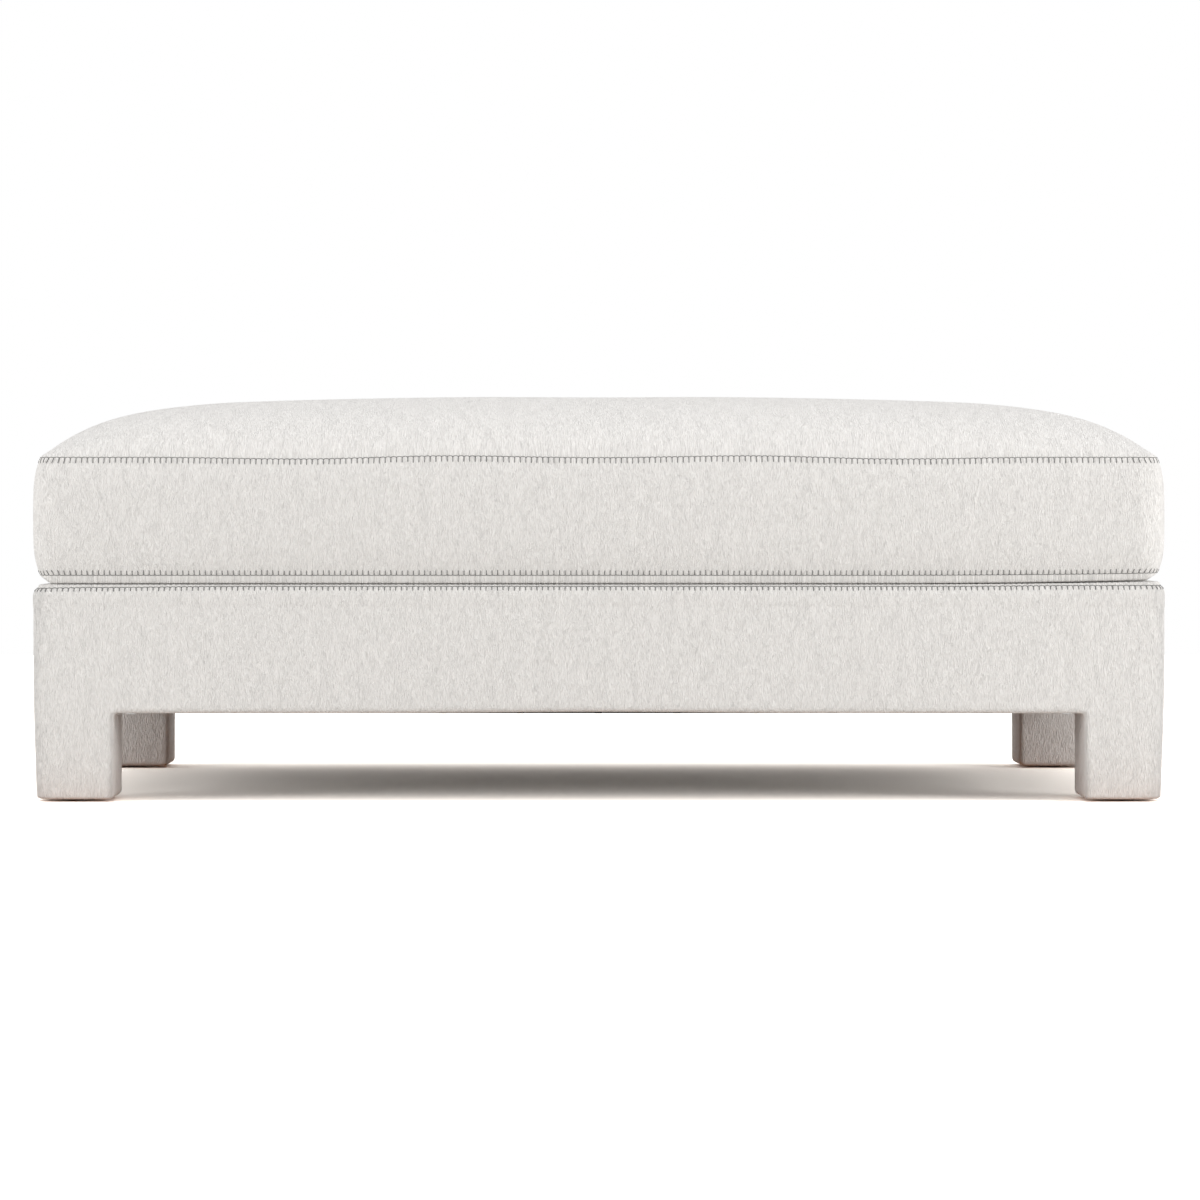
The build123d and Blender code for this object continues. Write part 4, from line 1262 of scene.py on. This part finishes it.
tacks = np.array(tacks)
bar_tacks = tubes("zip_bar_tacks", tacks, np.full(tacks.shape, (0.0, 1.0, 0.0)), TACK_RADIUS,
                  THREAD_SIDES, False, sewing_thread)
print(len(sewn), "topstitches and", len(tacks), "bar tacks")

# %% [markdown]
# The filling is hidden, but it is there: a foam core in the cushion with fibre wadding round
# it, a foam pad on the deck, thin pads round the rails and legs, and a felt sheet that keeps
# the springs from cutting the foam. Cut foam has open cells a millimetre or so across, carded
# wadding has a matted fibrous skin, and felt of recycled cloth is speckled.

# %% Finishes of the filling
CELL = 1.3 * MM
FIBRE = 1.5 * MM
SPECK = 2.2 * MM


def soft_finish(name, size, stops, kind, depth):
    """A matt soft surface whose pattern is noise or open cells of a real size."""
    made, tree = material(name)
    place = node(tree, "TexCoord").outputs["Object"]
    if kind == "cells":
        pattern = node(tree, "TexVoronoi", Vector=place, Scale=1 / size).outputs["Distance"]
    else:
        pattern = node(tree, "TexNoise", Vector=place, Scale=1 / size, Detail=4.0,
                       Roughness=0.7, Distortion=1.5 * (kind == "fibres")).outputs["Fac"]
    tone = node(tree, "ValToRGB", stops=stops, Fac=pattern).outputs["Color"]
    return finished(made, tone, pattern, 0.7, depth, Roughness=0.95, Sheen_Weight=0.2)


cut_foam = soft_finish("cut_polyether_foam", CELL, ((0.1, "#e6d49b"), (0.6, "#f1e5b9")),
                       "cells", 0.5 * MM)
wadding = soft_finish("carded_polyester_wadding", FIBRE, ((0.3, "#e2e1de"), (0.6, "#f4f3f1")),
                      "fibres", 0.8 * MM)
felt = soft_finish("needled_recycled_felt", SPECK,
                   ((0.32, "#4b4640"), (0.5, "#7d756b"), (0.68, "#a49b8e")), "specks",
                   0.4 * MM)

# %% Filling of the cushion
FILL_MARGIN = 4.5 * MM
CORE_GAP = 1 * MM
LUMP = 0.8 * MM
LUMP_REACH = (71 * MM, 53 * MM)


def cushion_form(low, high):
    """The cushion's closed form, scaled into a box."""
    points = np.array(cage_points)
    least, most = points.min(0), points.max(0)
    share = (points - least) / (most - least)
    lumps = LUMP * np.prod(np.sin(points[:, :2] / LUMP_REACH), axis=1)
    scaled = np.array(low) + share * (np.array(high) - np.array(low))
    scaled[:, 2] += lumps * np.sin(pi * share[:, 2])
    return scaled


core_low, core_high = (np.array(corner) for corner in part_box("cushion_core"))
wrap_low, wrap_high = (np.array(corner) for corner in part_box("cushion_wrap"))
foam_core = piece("cushion_foam_core", cushion_form(core_low + CORE_GAP, core_high - CORE_GAP),
                  cage_faces, None, cut_foam)
outer = cushion_form(wrap_low + (FILL_MARGIN, FILL_MARGIN, CORE_GAP), wrap_high - FILL_MARGIN)
inner = cushion_form(core_low, core_high)
wrap_faces = cage_faces + [[int(index) + len(outer) for index in face][::-1]
                           for face in cage_faces]
fibre_wrap = piece("cushion_fibre_wrap", np.concatenate((outer, inner)), wrap_faces, None,
                   wadding)
print("foam core", [round(side, 3) for side in core_high - core_low], "m")

# %% Slabs of padding
PAD_STEP = 25 * MM
PAD_EDGE = 3.5 * MM
INSIDE_COVER = 1.8 * MM


def kept_inside(points):
    """Draw points in until they lie a little inside the base's cover."""
    return drawn(points, lambda where: np.maximum(base_distance(where) + INSIDE_COVER, 0),
                 steps=4)


def soft_slab(name, low, high, finish):
    """A foam slab with soft edges, as one closed mesh of six gridded sides."""
    low, high = np.array(low), np.array(high)
    marks = []
    for one, other in zip(low, high):
        inner = np.arange(one + PAD_EDGE, other - PAD_EDGE, PAD_STEP)
        marks.append([one, one + PAD_EDGE / 3, *inner, other - PAD_EDGE, other - PAD_EDGE / 3,
                      other])
    counts = [len(line) for line in marks]
    index, points, faces = {}, [], []
    for axis in range(3):
        one, two = (axis + 1) % 3, (axis + 2) % 3
        for end in (0, counts[axis] - 1):
            for i in range(counts[one] - 1):
                for j in range(counts[two] - 1):
                    quad = []
                    for a, b in ((0, 0), (1, 0), (1, 1), (0, 1)):
                        key = [0, 0, 0]
                        key[axis], key[one], key[two] = end, i + a, j + b
                        key = tuple(key)
                        if key not in index:
                            index[key] = len(points)
                            points.append([marks[k][key[k]] for k in range(3)])
                        quad.append(index[key])
                    faces.append(quad if end else quad[::-1])
    points = np.array(points)
    core = np.clip(points, low + PAD_EDGE, high - PAD_EDGE)
    away = points - core
    length = np.maximum(np.linalg.norm(away, axis=1, keepdims=True), PAD_EDGE)
    return piece(name, kept_inside(core + away / length * PAD_EDGE), faces, None, finish)


# %% Padding of the deck, rails and legs
POST_PAD_CORNER = 8 * MM
POST_CORNER = 3 * MM
POST_GAP = 0.1 * MM
POST_COLUMNS = (5, 5)
pads = [(soft_slab(solid.replace("_pad", "_foam_pad"), *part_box(solid), cut_foam), solid)
        for solid in ("deck_pad", "rail_pad_front", "rail_pad_rear", "rail_pad_left",
                      "rail_pad_right")]
pad_heights = np.array((0.0, 0.03, 0.25, 0.5, 0.75, 0.97, 1.0))
for end in ("front", "rear"):
    for side in ("left", "right"):
        solid = f"leg_pad_{end}_{side}"
        low, high = (np.array(corner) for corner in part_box(solid))
        middle, half = (low + high)[:2] / 2, (high - low)[0] / 2
        post_low, post_high = (np.array(corner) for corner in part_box(f"leg_post_{end}_{side}"))
        post_half = (post_high - post_low)[0] / 2 + POST_GAP
        outside = outline(half, half, POST_PAD_CORNER, *POST_COLUMNS)[0] + middle
        inside = outline(post_half, post_half, POST_CORNER, *POST_COLUMNS)[0]
        inside = inside + (post_low + post_high)[:2] / 2
        heights = low[2] + pad_heights * (high - low)[2]
        wall = [kept_inside(level(outside, height)) for height in heights]
        wall += [level(inside, height) for height in heights[::-1]]
        points, starts = stack(wall)
        faces = ring_faces([*starts, starts[0]], [len(outside)] * (len(wall) + 1), True)
        pads.append((piece(solid.replace("_pad", "_foam_pad"), points, faces, None, cut_foam),
                     solid))
print("pads", len(pads))

# %% [markdown]
# Two sheets are stretched across the frame: the felt on the springs, and under everything a
# black dust cloth. That cloth is spunbonded: hot rollers press a grid of dots, about 1.5 mm
# apart, into loose fibres. Its edge is turned in, and it ripples a little between staples.

# %% Spunbonded cloth
BOND_PITCH = 1.5 * MM
LOOSE_FIBRE = 1.11 * MM


def spunbonded_cloth():
    """Black loose fibres, with a grid of pressed dots in the bump."""
    made, tree = material("spunbonded_polypropylene")
    place = node(tree, "TexCoord").outputs["Object"]
    dots = node(tree, "TexVoronoi", Vector=place, Scale=1 / BOND_PITCH,
                Randomness=0.15).outputs["Distance"]
    fibres = node(tree, "TexNoise", Vector=place, Scale=1 / LOOSE_FIBRE, Detail=3.0,
                  Distortion=2.0).outputs["Fac"]
    tone = node(tree, "ValToRGB", stops=((0.3, "#0f0f10"), (0.7, "#1d1d1f")),
                Fac=fibres).outputs["Color"]
    return finished(made, tone, dots, 0.6, 0.25 * MM, Roughness=0.7, Sheen_Weight=0.1)


# %% Sheets on grid lines
SHEET_STEP = 12 * MM


def gridded(name, columns, rows, keep, height, finish):
    """A sheet on grid lines, of the cells that keep allows, at the heights given."""
    index = np.arange(len(columns) * len(rows)).reshape(len(columns), len(rows))
    x, y = (line.ravel() for line in np.meshgrid(columns, rows, indexing="ij"))
    faces = [[index[i, j], index[i, j + 1], index[i + 1, j + 1], index[i + 1, j]]
             for i in range(len(columns) - 1) for j in range(len(rows) - 1)
             if keep((columns[i] + columns[i + 1]) / 2, (rows[j] + rows[j + 1]) / 2)]
    used = np.unique(np.concatenate(faces))
    renumbered = np.full(index.size, -1)
    renumbered[used] = np.arange(len(used))
    points = np.column_stack((x, y, height(x, y)))[used]
    return piece(name, points, [renumbered[face].tolist() for face in faces], None, finish)


def evenly(low, high, marks=()):
    """Grid lines about a sheet step apart that also pass through marks."""
    ends = sorted({low, high, *(mark for mark in marks if low < mark < high)})
    spaced = [ends[0]]
    for one, other in zip(ends, ends[1:]):
        parts = max(1, round((other - one) / SHEET_STEP))
        spaced += [one + (other - one) * part / parts for part in range(1, parts + 1)]
    return np.array(spaced)


# %% The dust cloth
dust_low, dust_high = (Vector(corner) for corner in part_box("dust_cover"))
FROM_LEGS = 5.3 * MM
INNER = [half - FROM_LEGS for half in OPENING_HALF]
HEM = 15 * MM
HEM_TURN = 0.5 * MM
HEM_LIFT, CLOTH_LIFT = 0.35 * MM, 0.25 * MM
STAPLE_PITCH = 60 * MM
RIPPLE = 0.12 * MM
RIPPLE_REACH = 60 * MM
SAG = 0.9 * MM


def in_cross(x, y):
    """Whether a cell belongs to the cloth, which is cut out at each leg."""
    return abs(x) < INNER[0] or abs(y) < INNER[1]


def from_cross_edge(x, y):
    """How far inside the edge of the cross-shaped cloth a point lies."""
    arm_x = np.minimum(dust_high.x - np.abs(x), INNER[1] - np.abs(y))
    arm_y = np.minimum(INNER[0] - np.abs(x), dust_high.y - np.abs(y))
    return np.maximum(np.maximum(arm_x, arm_y), 0)


def dust_height(x, y):
    """Flat at the hem, rippled between staples, and sagging a little inside."""
    inside = from_cross_edge(x, y)
    hem = np.where(inside < HEM, 0.0, 1.0)
    ripple = np.cos(2 * pi * x / STAPLE_PITCH) + np.cos(2 * pi * y / STAPLE_PITCH)
    ripple = RIPPLE * ripple * np.exp(-inside / RIPPLE_REACH)
    sag = SAG * np.cos(pi * x / 2 / dust_high.x) * np.cos(pi * y / 2 / dust_high.y)
    return dust_low.z + HEM_LIFT + hem * (CLOTH_LIFT + ripple - sag)


dust_lines = [evenly(-high, high, [way * (edge - step) for edge in (high, inner)
                                   for way in (-1, 1) for step in (0.0, HEM - HEM_TURN, HEM)])
              for high, inner in zip(dust_high, INNER)]
dust_cloth = gridded("dust_cloth", *dust_lines, in_cross, dust_height, spunbonded_cloth())
print("dust cloth", len(dust_cloth.data.polygons), "faces")

# %% The felt on the springs
felt_low, felt_high = (Vector(corner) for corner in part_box("insulator"))
SPRING_PITCH = 170.9 * MM
FELT_WAVE = 0.4 * MM


def felt_height(x, _):
    """Held up by each spring, and sagging between them."""
    return (felt_low.z + felt_high.z) / 2 + FELT_WAVE * np.cos(2 * pi * x / SPRING_PITCH)


felt_sheet = gridded("spring_felt", evenly(felt_low.x, felt_high.x),
                     evenly(felt_low.y, felt_high.y), lambda x, y: True, felt_height, felt)
print("felt", len(felt_sheet.data.polygons), "faces")

# %% [markdown]
# The frame is planed softwood: growth rings cut lengthwise show as long streaks, a few
# millimetres apart, that run along each board. The springs are oil-tempered wire, dark and
# half matt. Screws, clips, nails and staples are bright zinc, slightly clouded. The zip's
# slider and pull are die-cast and lacquered in the cloth's colour.

# %% Finishes of wood and metal
RING = 3.2 * MM
RING_STRETCH = 28
GLOSS_SPREAD = 0.25


def planed_softwood(name, along):
    """Growth rings, stretched along one axis of the board."""
    made, tree = material(name)
    place = node(tree, "TexCoord").outputs["Object"]
    scale = [1 / RING] * 3
    scale[along] /= RING_STRETCH
    grain = node(tree, "Mapping", Vector=place, Scale=scale).outputs["Vector"]
    rings = node(tree, "TexNoise", Vector=grain, Scale=1.0, Detail=3.0, Roughness=0.55,
                 Distortion=0.5).outputs["Fac"]
    tone = node(tree, "ValToRGB", stops=((0.34, "#c49a62"), (0.5, "#dcb983"),
                                         (0.68, "#ead2a4")), Fac=rings).outputs["Color"]
    return finished(made, tone, rings, 0.35, 0.3 * MM, Roughness=0.68)


def metal(name, size, dark, light, roughness, metallic=1.0, coat=0.0):
    """A metal or lacquered metal whose tone and gloss cloud over a real size."""
    made, tree = material(name)
    place = node(tree, "TexCoord").outputs["Object"]
    cloud = node(tree, "TexNoise", Vector=place, Scale=1 / size, Detail=4.0).outputs["Fac"]
    tone = node(tree, "ValToRGB", stops=((0.3, dark), (0.7, light)),
                Fac=cloud).outputs["Color"]
    gloss = node(tree, "Math", {"operation": "MULTIPLY_ADD"}, _0=cloud, _1=GLOSS_SPREAD,
                 _2=roughness - GLOSS_SPREAD / 2).outputs[0]
    return finished(made, tone, cloud, 0.2, 0.05 * MM, Metallic=metallic, Roughness=gloss,
                    Coat_Weight=coat)


softwood = [planed_softwood("planed_spruce_" + axis, along)
            for along, axis in enumerate("xyz")]

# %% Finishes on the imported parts
FINISHES = {
    "spring_steel": metal("oil_tempered_spring_wire", 6 * MM, "#3c3d40", "#56575b", 0.45),
    "zinc_steel": metal("bright_zinc_plated_steel", 3 * MM, "#a9adb1", "#c6c9cc", 0.35),
    "zipper_metal": metal("lacquered_zinc_casting", 4 * MM, "#cbc7be", "#d8d5cd", 0.4,
                          metallic=0.0, coat=0.4),
    "glide_nylon": glide_nylon,
}
UPRIGHT_GRAIN = ("corner_blocks",)
for part in frame["record"]["subparts"]:
    solid = bpy.data.objects[part["node"]]
    if part["material_slot"] == "timber":
        low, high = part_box(part["node"])
        size = [b - a for a, b in zip(low, high)]
        along = 2 if part["node"] in UPRIGHT_GRAIN else size.index(max(size))
        solid.material_slots[0].material = softwood[along]
    elif part["material_slot"] in FINISHES:
        solid.material_slots[0].material = FINISHES[part["material_slot"]]
print("packed parts with a finish here:", ", ".join(["timber", *FINISHES]))

# %% [markdown]
# Every piece rides on the body that carries it, names the material slot that its finish
# belongs to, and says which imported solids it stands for.

# %% Riding and replacing
base_solids = ["cover_front_and_sides", "cover_rear"]
base_solids += [f"leg_lining_{end}_{side}" for end in ("front", "rear")
                for side in ("left", "right")]
RIDES = [
    ([cushion_top], "cushion", "cover_fabric", ["cushion_top_panel"], 0.9),
    ([cushion_side], "cushion", "cover_fabric", ["cushion_boxing"], 0.9),
    ([cushion_bottom], "cushion", "cover_fabric", ["cushion_bottom_panel"], 0.9),
    (stitch_top, "cushion", "stitch_thread", ["stitch_cushion_top"], None),
    (stitch_low, "cushion", "stitch_thread", ["stitch_cushion_bottom"], None),
    (stitch_base, "base", "stitch_thread", ["stitch_base_top"], None),
    ([base_cover, base_band], "base", "cover_fabric", base_solids, 1.0),
    ([deck_cloth], "base", "cover_fabric", ["deck_cloth"], 1.0),
    (zip_coils, "cushion", "zipper_coil", ["zipper_chain"], None),
    (zip_tapes, "cushion", "zipper_tape", ["zipper_tapes"], None),
    ([topstitch, bar_tacks], "cushion", "stitch_thread", [], None),
    ([foam_core], "cushion", "foam", ["cushion_core"], 1.0),
    ([fibre_wrap], "cushion", "fibre_wrap", ["cushion_wrap"], 0.8),
    ([dust_cloth], "base", "dust_cloth", ["dust_cover"], None),
    ([felt_sheet], "base", "insulator_felt", ["insulator"], None),
] + [([pad], "base", "foam", [solid], 1.0) for pad, solid in pads]
for pieces, body, slot, solids, fill in RIDES:
    for made in pieces:
        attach(made, body)
        if solids:
            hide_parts(*solids)
print("pieces that ride on a body", sum(len(row[0]) for row in RIDES))

# %% [markdown]
# A pale floor and soft studio light: an even room, a large lamp low at each side, the right
# one stronger, and a wider one overhead. Straight to the camera, the floor answers light
# about twice as strongly as paper does, so all that isn't in shadow is white, and the
# object's shadow stays. For the light that it throws back on the object, it is a pale board
# with a brown patch below the ottoman: painted warm shade, which makes the cloth's shade warm.

# %% Floor and room
FLOOR_REACH = 5.0
FLOOR_GAIN = (2.3, 2.18, 2.05, 1.0)
# Below the ottoman the board's bounce colour is painted warm shade, a brown patch the camera
# never sees.
FLOOR_BOARD, WARM_SHADE_PATCH = "#ebe9e6", "#c67e3e"
WARM_SHADE_HALF = (0.70, 0.40)
WARM_SHADE_EDGE = (0.42, 0.54)
ROOM = 0.74


def rays_that_see_the_backdrop(tree):
    """One for camera, glossy and transmission rays, nought for the light on the object."""
    seen = node(tree, "LightPath")
    total = seen.outputs["Is Camera Ray"]
    for kind in ("Is Glossy Ray", "Is Transmission Ray"):
        total = node(tree, "Math", {"operation": "MAXIMUM"}, _0=total,
                     _1=seen.outputs[kind]).outputs[0]
    return total


floor = piece("floor", [(x * FLOOR_REACH, y * FLOOR_REACH, 0)
                        for x, y in ((-1, -1), (1, -1), (1, 1), (-1, 1))], [(0, 1, 2, 3)])
floor_finish, tree = material("white_studio_board")
# The patch of painted warm shade: brown inside a box below the ottoman, the pale board beyond.
painted_shade_spot = node(tree, "Mapping", Vector=node(tree, "TexCoord").outputs["Object"],
            Scale=(0.5 / WARM_SHADE_HALF[0], 0.5 / WARM_SHADE_HALF[1], 1)).outputs["Vector"]
painted_shade_spot = node(tree, "VectorMath", {"operation": "ABSOLUTE"}, _0=painted_shade_spot).outputs[0]
painted_shade_spot = node(tree, "SeparateXYZ", Vector=painted_shade_spot)
painted_shade_spot = node(tree, "Math", {"operation": "MAXIMUM"}, _0=painted_shade_spot.outputs["X"],
            _1=painted_shade_spot.outputs["Y"]).outputs[0]
board = node(tree, "ValToRGB", stops=tuple(zip(WARM_SHADE_EDGE, (WARM_SHADE_PATCH, FLOOR_BOARD))),
             Fac=painted_shade_spot).outputs["Color"]
board = node(tree, "BsdfDiffuse", Color=board)
bright = node(tree, "BsdfDiffuse", Color=FLOOR_GAIN)
mixed = node(tree, "MixShader", Fac=rays_that_see_the_backdrop(tree), _1=board.outputs[0],
             _2=bright.outputs[0])
node(tree, "OutputMaterial", Surface=mixed.outputs[0])
floor.data.materials.append(floor_finish)
print("floor", floor.dimensions.x, "m wide")

# %% The room
world = bpy.data.worlds.new("studio")
world.use_nodes = True
bpy.context.scene.world = world
tree = world.node_tree
tree.nodes.clear()
room = node(tree, "Background", Color=(1, 1, 1, 1), Strength=ROOM)
backdrop = node(tree, "Background", Color=(1, 1, 1, 1), Strength=1.0)
mixed = node(tree, "MixShader", Fac=rays_that_see_the_backdrop(tree), _1=room.outputs[0],
             _2=backdrop.outputs[0])
node(tree, "OutputWorld", Surface=mixed.outputs[0])
print("room at", ROOM, "of white")

# %% Lamps


def lamp(name, place, aim, size, watts):
    """A square area lamp pointed at a place."""
    data = bpy.data.lights.new(name, "AREA")
    data.shape, data.size, data.energy = "SQUARE", size, watts
    made = bpy.data.objects.new(name, data)
    made.location = place
    made.rotation_euler = (Vector(aim) - Vector(place)).to_track_quat("-Z", "Y").to_euler()
    bpy.context.scene.collection.objects.link(made)
    print("lamp", name, watts, "W")


lamp("left_side", (-3.6, -1.7, 1.1), aim=(0, -0.3, 0.2), size=1.6, watts=34)
lamp("right_side", (3.6, -1.7, 1.1), aim=(0, -0.3, 0.2), size=1.6, watts=52)
lamp("overhead", (0, -0.6, 3.6), aim=(0, -0.1, 0.3), size=3.0, watts=34)
bpy.context.scene.view_settings.view_transform = "Standard"
